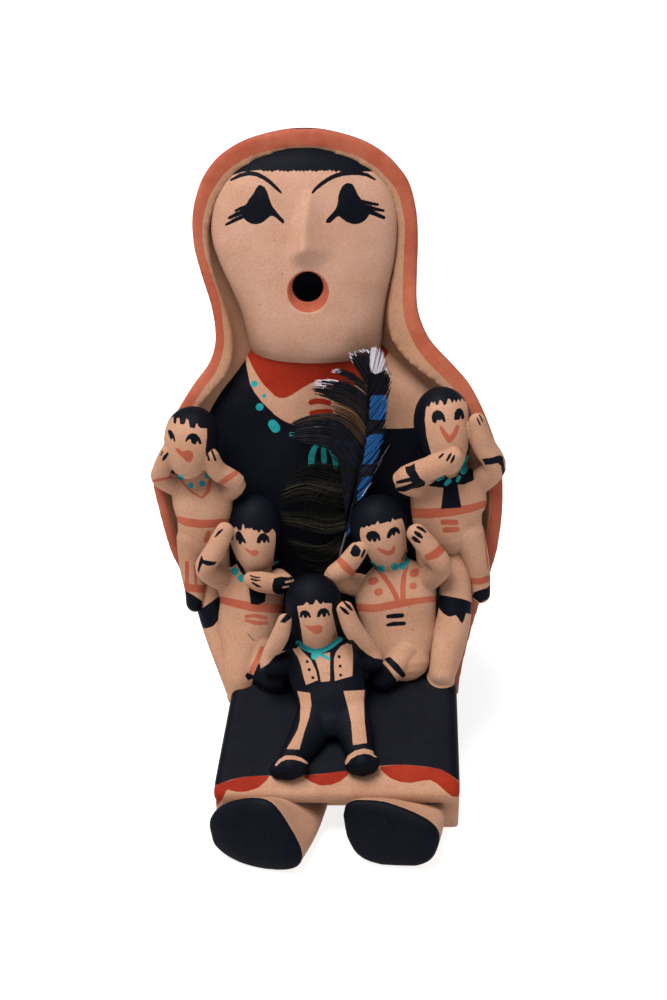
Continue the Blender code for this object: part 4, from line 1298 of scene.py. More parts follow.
def paint_inner_right(coat):
    coat.cover("black", ("head", "hair"))
    face = [
        (360, 530), (361.5, 527), (364, 528), (367, 525.5), (369, 527), (372, 524.5), (375, 525),
        (378, 520.5),
        (379.5, 524), (384, 523), (388, 521.5), (391, 522.5), (392.5, 518), (395, 520.5), (398, 519),
        (402, 518.5),
        (404, 524), (406, 532), (406.5, 545), (408.5, 556), (403, 568), (394, 574), (384, 574), (375, 568),
        (368, 554), (362, 543), (360, 536),
    ]
    coat.bare_patch("black", face, ("head", "hair"))
    coat.patches("black", [
        [(365.8, 535.9), (367.6, 532.3), (371.6, 530.6), (375.9, 531.2), (379.5, 534.4), (380.9, 540.2),
         (378.5, 541.2), (377.3, 538), (375.9, 542), (373, 541.6), (372.3, 538.7), (370.9, 542),
         (368.4, 540.9),
         (366.6, 538.7)],
        [(386.6, 538), (387.3, 533.7), (390.2, 528.7), (394.5, 526.6), (398.1, 527.7), (400.3, 531.6),
         (399.5, 534.4), (397.4, 533), (396, 531.6), (395.2, 534.4), (393.8, 536.6), (392.4, 534.4),
         (390.2, 537.3), (388.5, 538.7)],
    ], FACE)
    mouth = [(378, 549, 2.5), (382, 551, 4.2), (388, 553.5, 4.8), (392.5, 552, 4.8), (394, 547.5, 3)]
    coat.strokes("terracotta", [mouth], FACE)
    beads = [(371.8, 564.5, 6.5), (381, 568.3, 7.5), (394.5, 566.4, 7.5), (402.3, 566, 7.0)]
    coat.dots("turquoise", beads, TRUNK)
    coat.strokes("turquoise", [[(406.5, 563, 5), (410, 553, 5)]], TRUNK)
    coat.strokes("terracotta", [
        [(376, 568, 3), (383, 575.5, 5), (390, 585, 5), (395, 594, 5), (398, 602, 5)],
        [(407, 566, 3), (404, 576, 5), (403, 588, 5.5), (403, 600, 5.5)],
        [(371.8, 581.5, 7.5), (374.6, 580.5, 7.5)],
        [(378, 592.2, 7.5), (379.4, 591.6, 7.5)],
        [(413.4, 573.6, 8), (415.8, 572.4, 8)],
        [(412.6, 586, 7), (413.6, 586, 7)],
        [(352, 607, 8), (375, 608.5, 8), (396, 604.5, 8), (415, 601, 6.5), (438, 598.5, 6)],
    ], ("body",))
    coat.strokes("black", [
        [(388, 616.5, 4), (394, 616, 5), (402, 615.5, 4.5)],
        [(387.5, 625, 3), (393, 624, 4.5), (404, 623.5, 4)],
    ], ("body",))
    coat.dots("black", [(409.6, 606.8, 1.2), (412.7, 629.3, 1.2), (397.4, 647.7, 1.2)], ("body",))
    leg = [(360, 655), (376, 661), (381, 661), (390, 671), (397, 680.5), (390, 700), (350, 700)]
    coat.strokes("black", [[(386, 659.5, 3), (389, 660, 6), (396, 667, 7), (403, 675, 5)]],
                 ("body", "left_leg"))
    coat.patch("black", leg, ("left_leg", "body"))
    cuff = [(350, 553), (352, 547.5), (355, 544), (358.5, 546.5), (361, 550.5), (359.5, 556), (355, 557),
            (352, 556)]
    coat.patch("black", cuff, ("left_arm",))
    coat.strokes("black", [[(364.5, 550, 2), (363, 554, 3), (361.5, 557.5, 1.5)]], ("left_arm",))
    coat.strokes("terracotta", [[(339.5, 560, 6), (346, 567, 8), (352, 573, 6), (357, 571, 5)]],
                 ("left_arm",))
    coat.strokes("black", [
        [(417.5, 527, 2.5), (421.5, 529, 3.5), (425.5, 532, 2)],
        [(415.5, 532.5, 3.5), (419, 535, 4.5), (422, 537.5, 2.5)],
        [(413.5, 538, 4), (416, 540, 4.5), (420, 542.5, 2)],
    ], ("right_arm",))
    coat.strokes("terracotta", [[(428, 557, 7), (436, 554, 8.5), (443, 547, 8)]], ("right_arm",))


PAINTERS = {
    "upper_left": paint_upper_left,
    "upper_right": paint_upper_right,
    "inner_left": paint_inner_left,
    "inner_right": paint_inner_right,
    "middle": paint_middle,
}


def along_mouth(points, centre):
    """How far points are in front of centre along the mouth's axis, and how far from that axis."""
    aim = np.array(tilted(MOUTH_UP) @ Vector((0.0, -1.0, 0.0)))
    out = points - np.array(centre)
    ahead = out @ aim
    return ahead, np.linalg.norm(out - ahead[:, None] * aim, axis=1)


def rounded(outline, steps=4):
    """A closed outline with its corners eased onto a smooth curve."""
    count = len(outline)
    wrapped = [outline[(i - 1) % count] for i in range(count + 3)]
    return smoothed(wrapped, steps)[steps:-2 * steps]


def paint_head(coat):
    """Her fringe, brows, closed eyes and lip, and black deep in her mouth as painted shade."""
    chance = random.Random(5)
    fringe = []
    for k, x in enumerate(range(338, 262, -2)):
        across = x + chance.uniform(-0.5, 0.5)
        down = chance.uniform(169.4, 170.6) + (k % 2) * chance.uniform(1.2, 2.6)
        fringe.append((across, down))
    hair = [
        (150, 100), (450, 100), (450, 178), (392, 178), (382, 173.8), (374, 171.5), (366, 171.5),
        (354, 172.5),
        (344, 173.6), *fringe, (261, 170), (252, 170.6), (242, 172), (233, 175), (226, 179), (200, 190),
        (150, 190),
    ]
    coat.lay("black", off_patch(coat.flat, hair))
    coat.lay("black", HAIR_FROM - coat.points[:, 1], front=False)
    coat.stroke("black", [(231, 180, 2.2), (240, 175.5, 3.8), (249, 173.2, 4.4), (257, 174.3, 4.4),
                          (264, 177.8, 4.2),
                          (270, 182, 4), (276, 187.8, 3.4), (281, 192.6, 2.2)], 3.3)
    coat.stroke("black", [(312.6, 192.6, 2.4), (316, 188.5, 3.4), (321, 184.2, 4), (327, 180, 4.3),
                          (334, 176.3, 4.5),
                          (342, 173.8, 4.5), (351, 173, 4.4), (359, 173.2, 4), (367, 174.8, 3.5),
                          (375, 179.5, 2)], 3.3)
    left_eye = [
        (260.3, 184.6), (256.6, 187.5), (253.6, 193), (249.8, 198.2), (246.8, 203), (243.8, 208.5),
        (242, 213.5),
        (244.4, 219), (249.5, 223), (255.6, 224.3), (262, 222.8), (267.5, 218.6), (271, 216), (275.5, 217.5),
        (279.5, 221), (283.4, 223.8), (284.2, 220.6), (280, 215.8), (275.8, 210.6), (272, 205.4),
        (269.6, 199.2),
        (267.4, 192.6), (264.6, 187.2),
    ]
    coat.patch("black", rounded(left_eye))
    coat.stroke("black", [(247, 206, 3.6), (241, 208.4, 3.6), (235.6, 210.6, 2.6)], 2.5)
    coat.stroke("black", [(244, 211.5, 4.2), (236, 214.7, 4.2), (229, 218, 2.8)], 2.5)
    coat.stroke("black", [(243, 216.5, 3.8), (234, 220.5, 3.8), (226.3, 224.6, 2.6)], 2.5)
    right_eye = [
        (347.8, 182.8), (343.4, 185.2), (340.4, 190), (338.4, 196), (337.8, 202), (336, 208), (332, 213.5),
        (327.6, 218), (325.8, 222.2), (329.6, 223), (334, 219.6), (338.4, 216.2), (342.4, 219), (348, 222.6),
        (355.4, 224.2), (362, 222.4), (367, 218), (369.4, 212.6), (367, 206.2), (362, 200.4), (357.8, 194.4),
        (355, 188.2), (352, 183.9),
    ]
    coat.patch("black", rounded(right_eye))
    coat.stroke("black", [(362, 201.4, 3.6), (370, 203.4, 3.6), (377.6, 204.6, 2.8)], 2.5)
    coat.stroke("black", [(366, 206.6, 4), (374, 208.8, 4), (383.4, 210.6, 2.8)], 2.5)
    coat.stroke("black", [(367, 211, 4.4), (375.5, 214, 4.4), (383.8, 217.6, 3.6)], 2.5)
    # The terracotta of her lip runs a little way into the mouth; deeper in, the hole is painted black, which
    # is painted shade for its dark inside.
    for centre, radius, paint, near, far in (
        (LIP, LIP_RADIUS, "terracotta", 3.0, -6.0),
        (MOUTH, MOUTH_RADIUS + 0.7, "black", -2.6, -30.0),
    ):
        ahead, around = along_mouth(coat.points, centre)
        slice_off = np.maximum(ahead - near, far - ahead)
        coat.lay(paint, np.maximum(around - radius, slice_off), front=False)


def paint_shawl(coat):
    """Orange on the outer part of the rim, tan on its inner part and inside, and black outside."""
    rows, deep, band = np.array(SHAWL), np.array(ORANGE_DEPTH, float), np.array(ORANGE_RIM)
    x, y, z = coat.points.T
    left = np.interp(z, rows[:, 0], rows[:, 1])
    right = np.interp(z, rows[:, 0], rows[:, 2])
    behind = y - np.interp(z, rows[:, 0], rows[:, 3])
    outline = [row[:2] for row in smoothed([(r[1], r[0]) for r in SHAWL], 4)]
    outline += [row[:2] for row in smoothed([(r[2], r[0]) for r in reversed(SHAWL)], 4)]
    inside = off_curve(np.stack([x, z], axis=1), outline)
    on_left = x < (left + right) / 2
    broad = np.where(on_left, np.interp(z, band[:, 0], band[:, 1]), np.interp(z, band[:, 0], band[:, 2]))
    reach = np.interp(z, deep[:, 0], deep[:, 1])
    coat.lay("terracotta", np.maximum(behind - reach, inside - broad), front=False)
    out_x = np.where(z > HOOD_FROM, x - (left + right) / 2, np.where(on_left, -30.0, 30.0))
    out_z = np.where(z > HOOD_FROM, z - HOOD_MIDDLE, 0.0)
    outward = (coat.normals[:, 0] * out_x + coat.normals[:, 2] * out_z) / np.hypot(out_x, out_z)
    outward += coat.normals[:, 1]
    coat.lay("black", np.maximum(-8.0 * outward, reach - 0.4 - behind), front=False)


def paint_dress(coat):
    """Her black dress with its neckline, scarf, beads and hem, and her sleeves and hands."""
    whole = ("chest",)
    coat.cover("black", whole)
    neckline = [(246, 330), (246, 364), (250, 384), (255, 393), (262, 402), (268, 408), (275, 415),
                (284, 421), (293, 425),
                (305, 428), (325, 428), (345, 428), (365, 428.5), (382, 428.6), (400, 428.6), (418, 427.6),
                (430, 428),
                (432, 400), (420, 340), (400, 320), (260, 320)]
    coat.bare_patch("black", neckline, whole)
    scarf = [
        (246, 352), (249, 359), (252, 366), (257, 375), (263, 384), (269, 390), (275, 396), (280, 398),
        (284, 398),
        (289, 396.5), (294, 393.5), (301, 389), (311, 383), (322, 379.5), (335, 381), (350, 385), (362, 386),
        (372, 378), (382, 364), (390, 350), (394, 340), (388, 320), (246, 320),
    ]
    coat.patch("red", scarf, whole)
    coat.stroke("red", [(311, 402.5), (316, 401), (324, 401.5), (329, 403)], 5.5, whole)
    coat.stroke("red", [(311, 413), (318, 411.5), (325, 411), (331, 411.5)], 4.5, whole)
    for x, y, w in [(254, 384, 6.6), (259.5, 407, 7.6), (264, 396, 4.5)]:
        coat.stroke("turquoise", [(x, y), (x + 0.4, y)], w, whole)
    coat.stroke("turquoise", [(272.5, 424, 9), (275.5, 428, 9.5)], 9.0, whole)
    coat.stroke("turquoise", [(293, 434, 8), (299, 436, 8)], 8.0, whole)
    coat.stroke("turquoise", [(318, 444, 3.5), (314, 449, 5.4), (311.6, 456, 6.6),
                              (311.4, 464, 6)], 6.5, whole)
    coat.stroke("turquoise", [(323.2, 445, 3.5), (323.6, 452, 5.4), (324, 461.5, 5.6)], 5.5, whole)
    coat.stroke("turquoise", [(329, 447, 3), (332.8, 454, 4.6), (335.4, 460, 6), (336, 467, 5)], 6.0, whole)
    for name, cuff in (
        ("left", [(222, 596), (218, 597), (199, 610.5), (196, 612), (197, 620), (203, 628), (206, 628.5),
                  (213, 626.5), (220, 618), (222.5, 606)]),
        ("right", [(436, 594), (450, 596.5), (463, 599), (474, 603), (480, 606), (477, 616), (466, 613),
                   (464.5, 619), (462, 624),
                   (456, 615), (449, 617), (443, 613), (438, 607), (437, 600)]),
    ):
        coat.patch("black", cuff, (name,))
    hem_top = [(200, 790), (217, 785), (230, 780), (243, 777), (269, 775.5), (285, 778), (303, 775.5),
               (325, 773.5),
               (348, 771), (365, 768), (379, 766), (393, 765), (407, 765), (425, 766.5), (441, 769.5),
               (452, 776),
               (470, 790), (470, 900), (200, 900)]
    coat.bare_patch("black", hem_top, whole)
    scallops = [
        [(205, 793), (217, 785), (226, 781), (227, 789), (223, 798), (217, 806), (210, 812)],
        [(223, 783), (231, 780), (243, 777), (256, 776), (270, 775.5), (266, 781), (258, 788), (247, 791.5),
         (237, 792),
         (229, 790)],
        [(302, 775.5), (320, 774), (335, 772), (350, 770.5), (347, 776), (340, 781.5), (331, 785),
         (320, 785.5), (311, 782)],
        [(379, 766.5), (393, 765), (407, 765), (425, 766.5), (441, 769.5), (450, 774), (461, 784),
         (460, 797), (452, 796.5),
         (444, 790), (437, 783.5), (430, 780), (420, 781), (411, 783), (400, 782), (390, 778), (383, 772)],
    ]
    for outline in scallops:
        coat.patch("red", outline, whole)


def paint_feet(coat):
    """The black of each sole, up to its rim."""
    for stations in LEGS.values():
        place, way = cuts_along(stations, 10, UP)[-1][:2]
        ahead = (coat.points - np.array(place)) @ np.array(way)
        near = np.linalg.norm(coat.points - np.array(place), axis=1) - SOLE_REACH
        coat.lay("black", np.maximum(-(ahead + SOLE_EDGE), near), front=False)


# The feathers


def on_sheet(flat, sheet, lift):
    """Where points of the front view lie on a sheet given as (height, depth), lifted off it by lift."""
    rows = np.array(sheet)
    across = (flat[:, 0] - VIEW_WIDTH / 2) / VIEW_SCALE
    up = (VIEW_HEIGHT / 2 - flat[:, 1]) / VIEW_SCALE
    right = np.array((1.0, 0.0, 0.0))
    rays = np.array(VIEW_AIM) + across[:, None] * right + up[:, None] * np.array(VIEW_UP)
    eye = np.array(VIEW_EYE)
    depth = np.zeros(len(flat))
    for _ in range(12):
        points = eye + rays * ((depth - eye[1]) / rays[:, 1])[:, None]
        depth = np.interp(points[:, 2], rows[:, 0], rows[:, 1]) - lift
    return points


def barb_lines(tuft, chance):
    """The lines of a tuft's barbs in the front view, each with how far it stands out and its shade."""
    count, guides = tuft[0], tuft[-1]
    steps = BARB_STEPS * 4
    curves = []
    for guide in guides:
        curve = np.array(smoothed(guide, max(steps // (len(guide) - 1), 1)))
        along = np.linspace(0, len(curve) - 1, BARB_STEPS + 1)
        rows = np.arange(len(curve))
        across, down = (np.interp(along, rows, curve[:, k]) for k in (0, 1))
        curves.append(np.stack([across, down], axis=1))
    share = np.linspace(0.0, 1.0, BARB_STEPS + 1)[:, None]
    lines = []
    for k in range(count):
        spot = (k + chance.uniform(-0.4, 0.4)) / max(count - 1, 1)
        spot = min(max(spot, 0.0), 1.0) * (len(guides) - 1)
        first = min(int(spot), len(guides) - 2)
        line = curves[first] + (curves[first + 1] - curves[first]) * (spot - first)
        reach = line[-1] - line[0]
        beside = np.array((-reach[1], reach[0])) / max(float(np.hypot(*reach)), 1e-6)
        line = line + beside * share**2 * chance.gauss(0.0, 0.9)
        line = line + beside * np.sin(share * math.pi) * chance.gauss(0.0, 0.35)
        line = line[0] + (line - line[0]) * (1.0 + chance.uniform(-0.09, 0.03))
        lines.append((line, chance.uniform(0.0, 1.0), chance.uniform(0.0, 1.0)))
    return lines


def barb_rod():
    """One barb before it is laid out: a thin box of BARB_STEPS lengths, 1 long and 1 wide."""
    bm = bmesh.new()
    bmesh.ops.create_grid(bm, x_segments=BARB_STEPS, y_segments=1, size=0.5)
    bmesh.ops.solidify(bm, geom=bm.faces[:], thickness=1.0)
    bmesh.ops.recalc_face_normals(bm, faces=bm.faces)
    mesh = bpy.data.meshes.new("barb_rod")
    bm.to_mesh(mesh)
    bm.free()
    return mesh


def lay_barbs(bm, tufts, sheet, stack, thick, seed):
    """Adds the barbs of these tufts to bm, and returns what the paint of each vertex needs."""
    chance = random.Random(seed)
    rod = barb_rod()
    cells = np.array([vert.co for vert in rod.vertices])
    station = np.rint((cells[:, 0] - cells[:, 0].min()) * BARB_STEPS).astype(int)
    across = np.sign(cells[:, 1])
    height = np.where(cells[:, 2] > cells[:, 2].mean(), 0.5, -0.5)
    places, marks = [], {"pale": [], "brown": [], "shade": []}
    for tuft in tufts:
        wide, pale, brown = tuft[1:4]
        for line, standing, shade in barb_lines(tuft, chance):
            points = on_sheet(line, sheet, (standing - 0.5) * stack)
            run = np.gradient(points, axis=0)
            run /= np.linalg.norm(run, axis=1)[:, None]
            side = np.cross(run, -np.array(VIEW_AIM))
            side /= np.linalg.norm(side, axis=1)[:, None]
            front = np.cross(side, run)
            step = np.linspace(0.0, 1.0, BARB_STEPS + 1)
            half = wide * (0.55 - 0.33 * step**3)
            half[-1] = wide * 0.06
            middle = points[station]
            spread = side[station] * (across * half[station])[:, None]
            depth = front[station] * (height * thick * (1.0 - 0.6 * step[station]))[:, None]
            places.append(middle + spread + depth)
            length = np.concatenate([[0.0], np.cumsum(np.linalg.norm(np.diff(points, axis=0), axis=1))])
            tip = pale * (0.6 + 0.8 * shade)
            off_tip = length[-1] - length - tip if pale > 0 else np.full(len(length), FAR)
            marks["pale"].append(off_tip[station])
            marks["brown"].append(np.full(len(cells), brown * shade))
            marks["shade"].append(np.full(len(cells), standing))
            bm.from_mesh(rod)
    bpy.data.meshes.remove(rod)
    places = np.concatenate(places)
    bm.verts.ensure_lookup_table()
    start = len(bm.verts) - len(places)
    for vert, place in zip(bm.verts[start:], places):
        vert.co = place
    marks = {mark: np.concatenate(values) for mark, values in marks.items()}
    marks["blue"] = np.full(len(places), FAR)
    return places, marks


def feather_piece(bm, name, marks, finish, node):
    """The finished feather piece, with its marks as attributes."""
    obj = finished(bm, name)
    for mark, values in marks.items():
        made = obj.data.attributes.new(mark, "FLOAT", "POINT")
        made.data.foreach_set("value", np.clip(values, -FAR, FAR).astype(np.float32))
    obj.data.materials.append(finish)
    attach(obj, "root")
    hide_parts(node)
    return obj


QUILL_SIDES = 12


def quill_tube():
    flat = np.array([row[:2] for row in QUILL])
    points = on_sheet(flat, BLADE_SHEET, 0.05)
    bm = bmesh.new()
    limb(bm, [(*point, row[2], row[2]) for point, row in zip(points, QUILL)], outline=circle(QUILL_SIDES))
    return bm


def make_feathers(groups):
    barbs = feather_barbs("barred_barbs", srgb(5, 6, 11), srgb(12, 13, 27), srgb(84, 58, 32), 0.5, groups)
    down = feather_barbs("dark_barbs", srgb(6, 6, 6), srgb(12, 12, 10), srgb(58, 54, 44), 0.85, groups)

    tube = quill_tube()
    places = np.array([vert.co for vert in tube.verts])
    bare = off_patch(seen(places), BARE_QUILL)
    none = np.full(len(places), FAR)
    marks = {"blue": none, "pale": bare, "brown": none * 0.0, "shade": none * 0.0 + 0.2}
    feather_piece(tube, "feather_quill", marks, barbs, "barred_feather")

    wide = bmesh.new()
    places, marks = lay_barbs(wide, WIDE_TUFTS, BLADE_SHEET, 0.7, 0.14, 11)
    feather_piece(wide, "wide_vane", marks, barbs, "barred_feather")

    narrow = bmesh.new()
    places, marks = lay_barbs(narrow, NARROW_TUFTS, BLADE_SHEET, 0.6, 0.14, 23)
    flat = seen(places)
    marks["blue"] = np.min([off_patch(flat, outline) for outline in BLUE_BARS], axis=0)
    white = np.minimum(off_patch(flat, PALE_TIP), off_line(flat, PALE_EDGE, 2.0))
    marks["pale"] = np.minimum(marks["pale"], white)
    feather_piece(narrow, "narrow_vane", marks, barbs, "barred_feather")

    plume = bmesh.new()
    places, marks = lay_barbs(plume, PLUME_TUFTS, PLUME_SHEET, 2.4, 0.12, 37)
    strand = np.min([off_line(seen(places), line, 9.0) for line in PLUME_STRANDS], axis=0)
    marks["brown"] = marks["brown"] * np.clip(1.2 - strand, 0.15, 2.0)
    feather_piece(plume, "down_plume", marks, down, "dark_plume")


# Finishes

BLACK_PAINT = srgb(2, 4, 12)
BLACK_WORN = srgb(6, 9, 18)
TERRACOTTA = srgb(140, 68, 50)
TERRACOTTA_PALE = srgb(157, 87, 66)
DEEP_RED = srgb(120, 27, 12)
DEEP_RED_WORN = srgb(132, 38, 18)
TURQUOISE = srgb(20, 114, 118)
TURQUOISE_PALE = srgb(50, 148, 148)


class Nodes:
    """Adds nodes to a tree from left to right and links them by name."""

    def __init__(self, tree):
        self.tree = tree
        self.count = 0

    def add(self, kind, inputs=None, **settings):
        node = self.tree.nodes.new(kind)
        node.location = (self.count * 180.0, -60.0 * (self.count % 4))
        self.count += 1
        for key, value in settings.items():
            setattr(node, key, value)
        for key, value in (inputs or {}).items():
            self.set(node.inputs[key], value)
        return node

    def set(self, socket, value):
        if isinstance(value, bpy.types.NodeSocket):
            self.tree.links.new(value, socket)
        else:
            socket.default_value = value

    def maths(self, operation, first, second=0.0, clamp=False):
        node = self.add("ShaderNodeMath", {0: first, 1: second}, operation=operation, use_clamp=clamp)
        return node.outputs[0]

    def between(self, value, low, high, to_low=0.0, to_high=1.0):
        """value taken from low..high to to_low..to_high and held there."""
        inputs = {"Value": value, "From Min": low, "From Max": high, "To Min": to_low, "To Max": to_high}
        return self.add("ShaderNodeMapRange", inputs).outputs["Result"]

    def mix(self, share, first, second, blend="MIX"):
        node = self.add("ShaderNodeMix", data_type="RGBA", blend_type=blend)
        self.set(node.inputs["Factor"], share)
        colours = [socket for socket in node.inputs if socket.type == "RGBA"]
        self.set(colours[0], first)
        self.set(colours[1], second)
        return next(socket for socket in node.outputs if socket.type == "RGBA")


def new_group(name, inputs, outputs):
    """An empty node group with these sockets, its nodes helper, and its input and output nodes."""
    tree = bpy.data.node_groups.new(name, "ShaderNodeTree")
    for label, kind, value in inputs:
        made = tree.interface.new_socket(name=label, in_out="INPUT", socket_type=kind)
        if value is not None:
            made.default_value = value
    for label, kind in outputs:
        tree.interface.new_socket(name=label, in_out="OUTPUT", socket_type=kind)
    nodes = Nodes(tree)
    return tree, nodes, nodes.add("NodeGroupInput"), nodes.add("NodeGroupOutput")


def brushed_edge_group():
    """A layer of paint: how far a point is outside it in mm, as a mask with a hand-brushed edge."""
    tree, nodes, given, result = new_group(
        "brushed_edge",
        [
            ("Outside", "NodeSocketFloat", 1.0),
            ("Wander", "NodeSocketFloat", 0.12),
            ("Thin", "NodeSocketFloat", 0.1),
        ],
        [("Mask", "NodeSocketFloat")],
    )
    place = nodes.add("ShaderNodeTexCoord").outputs["Object"]
    shiver = nodes.add("ShaderNodeTexNoise", {"Vector": place, "Scale": 900.0, "Detail": 3.0,
                                              "Roughness": 0.6})
    swing = nodes.maths("SUBTRACT", shiver.outputs["Fac"], 0.5)
    shift = nodes.maths("MULTIPLY", swing, given.outputs["Wander"])
    off = nodes.maths("ADD", given.outputs["Outside"], shift)
    solid = nodes.between(off, -0.07, 0.07, 1.0, 0.0)
    grit = nodes.add("ShaderNodeTexNoise", {"Vector": place, "Scale": 2600.0, "Detail": 2.0})
    patchy = nodes.between(grit.outputs["Fac"], 0.58, 0.74)
    loss = nodes.maths("MULTIPLY", patchy, given.outputs["Thin"])
    kept = nodes.maths("SUBTRACT", 1.0, loss)
    mask = nodes.maths("MULTIPLY", solid, kept, clamp=True)
    tree.links.new(mask, result.inputs["Mask"])
    return tree


def clay_skin_group():
    """Fired clay: a slow mottle, dark specks, and a height of fine grain, pits and rubbed dents."""
    tree, nodes, given, result = new_group(
        "clay_skin",
        [("Specks", "NodeSocketFloat", 1.0)],
        [
            ("Mottle", "NodeSocketFloat"), ("Speck", "NodeSocketFloat"), ("Sand", "NodeSocketFloat"),
            ("Height", "NodeSocketFloat"),
        ],
    )
    place = nodes.add("ShaderNodeTexCoord").outputs["Object"]
    slow = nodes.add("ShaderNodeTexNoise", {"Vector": place, "Scale": 70.0, "Detail": 5.0, "Roughness": 0.6})
    cells = nodes.add("ShaderNodeTexVoronoi", {"Vector": place, "Scale": 420.0})
    chosen = nodes.add("ShaderNodeSeparateColor", {"Color": cells.outputs["Color"]}).outputs[0]
    few = nodes.between(chosen, 0.88, 0.92)
    dot = nodes.between(cells.outputs["Distance"], 0.05, 0.13, 0.8, 0.0)
    speck = nodes.maths("MULTIPLY", nodes.maths("MULTIPLY", few, dot), given.outputs["Specks"])
    grain = nodes.add("ShaderNodeTexNoise", {"Vector": place, "Scale": 1700.0, "Detail": 4.0,
                                             "Roughness": 0.7})
    sand = nodes.between(grain.outputs["Fac"], 0.36, 0.64)
    dents = nodes.add("ShaderNodeTexNoise", {"Vector": place, "Scale": 190.0, "Detail": 2.0})
    fine = nodes.maths("MULTIPLY", grain.outputs["Fac"], 0.34)
    broad = nodes.maths("MULTIPLY", dents.outputs["Fac"], 0.55)
    height = nodes.maths("ADD", fine, broad)
    height = nodes.maths("SUBTRACT", height, nodes.maths("MULTIPLY", speck, 0.12))
    tree.links.new(slow.outputs["Fac"], result.inputs["Mottle"])
    tree.links.new(speck, result.inputs["Speck"])
    tree.links.new(sand, result.inputs["Sand"])
    tree.links.new(height, result.inputs["Height"])
    return tree


def painted_clay(name, slip, warm, groups, specks=1.0, rough=0.66):
    """Tan slip with layers of paint brushed over it."""
    made = bpy.data.materials.new(name)
    made.use_nodes = True
    tree = made.node_tree
    shader = tree.nodes["Principled BSDF"]
    nodes = Nodes(tree)
    skin_node = nodes.add("ShaderNodeGroup", node_tree=groups["clay_skin"])
    skin_node.inputs["Specks"].default_value = specks
    mottle = skin_node.outputs["Mottle"]
    uneven = nodes.between(mottle, 0.34, 0.66)
    colour = nodes.mix(uneven, warm, slip)
    sandy = nodes.between(skin_node.outputs["Sand"], 0.0, 1.0, 0.86, 1.08)
    tone = nodes.add("ShaderNodeCombineColor", {0: sandy, 1: sandy, 2: sandy}).outputs[0]
    colour = nodes.mix(1.0, colour, tone, "MULTIPLY")
    colour = nodes.mix(skin_node.outputs["Speck"], colour, srgb(74, 50, 38))
    roughness = nodes.between(mottle, 0.3, 0.7, rough + 0.06, rough - 0.05)
    layers = (
        ("terracotta", TERRACOTTA, TERRACOTTA_PALE, 0.30, 0.66),
        ("black", BLACK_PAINT, BLACK_WORN, 0.02, 0.58),
        ("red", DEEP_RED, DEEP_RED_WORN, 0.08, 0.60),
        ("turquoise", TURQUOISE, TURQUOISE_PALE, 0.05, 0.50),
    )
    for paint, full, worn, thin, sheen in layers:
        off = nodes.add("ShaderNodeAttribute", attribute_name=paint).outputs["Fac"]
        edge = nodes.add("ShaderNodeGroup", node_tree=groups["brushed_edge"])
        edge.inputs["Wander"].default_value = 0.16
        edge.inputs["Thin"].default_value = thin
        tree.links.new(off, edge.inputs["Outside"])
        mask = edge.outputs["Mask"]
        body = nodes.mix(nodes.between(mottle, 0.42, 0.72), full, worn)
        colour = nodes.mix(mask, colour, body)
        level = nodes.add("ShaderNodeMix", data_type="FLOAT")
        tree.links.new(mask, level.inputs[0])
        tree.links.new(roughness, level.inputs[2])
        level.inputs[3].default_value = sheen
        roughness = level.outputs[0]
    tree.links.new(colour, shader.inputs["Base Color"])
    tree.links.new(roughness, shader.inputs["Roughness"])
    bump = nodes.add("ShaderNodeBump", {"Height": skin_node.outputs["Height"]})
    bump.inputs["Strength"].default_value = 0.55
    bump.inputs["Distance"].default_value = 0.0006
    tree.links.new(bump.outputs["Normal"], shader.inputs["Normal"])
    shader.inputs["Specular IOR Level"].default_value = 0.06
    return made


def feather_barbs(name, dark, gleam, brown, rough, groups):
    """Barbs: dark with a little brown, with blue bars and pale tips where their marks say so."""
    made = bpy.data.materials.new(name)
    made.use_nodes = True
    tree = made.node_tree
    shader = tree.nodes["Principled BSDF"]
    nodes = Nodes(tree)
    place = nodes.add("ShaderNodeTexCoord").outputs["Object"]
    streak = nodes.add("ShaderNodeTexNoise", {"Vector": place, "Scale": 380.0, "Detail": 3.0}).outputs["Fac"]
    brownness = nodes.add("ShaderNodeAttribute", attribute_name="brown").outputs["Fac"]
    shade = nodes.add("ShaderNodeAttribute", attribute_name="shade").outputs["Fac"]
    colour = nodes.mix(nodes.between(streak, 0.46, 0.66), dark, gleam)
    colour = nodes.mix(brownness, colour, brown)
    layers = (
        ("blue", srgb(7, 28, 60), srgb(22, 68, 116), 1.0, 0.12),
        ("pale", srgb(84, 76, 86), srgb(186, 178, 186), 1.2, 0.2),
    )
    for mark, full, bright, wander, thin in layers:
        off = nodes.add("ShaderNodeAttribute", attribute_name=mark).outputs["Fac"]
        edge = nodes.add("ShaderNodeGroup", node_tree=groups["brushed_edge"])
        edge.inputs["Wander"].default_value = wander
        edge.inputs["Thin"].default_value = thin
        tree.links.new(off, edge.inputs["Outside"])
        body = nodes.mix(nodes.between(shade, 0.25, 0.8), full, bright)
        colour = nodes.mix(edge.outputs["Mask"], colour, body)
    tree.links.new(colour, shader.inputs["Base Color"])
    roughness = nodes.between(streak, 0.3, 0.7, rough + 0.08, rough - 0.06)
    tree.links.new(roughness, shader.inputs["Roughness"])
    shader.inputs["Specular IOR Level"].default_value = 0.08
    return made


# The clay pieces


def clay_piece(bm, name, painter, lumps, finish):
    coat = Coat(bm, lumps)
    painter(coat)
    obj = finished(bm, name)
    coat.keep(obj)
    obj.data.materials.append(finish)
    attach(obj, "root")
    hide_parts("storyteller")
    return obj


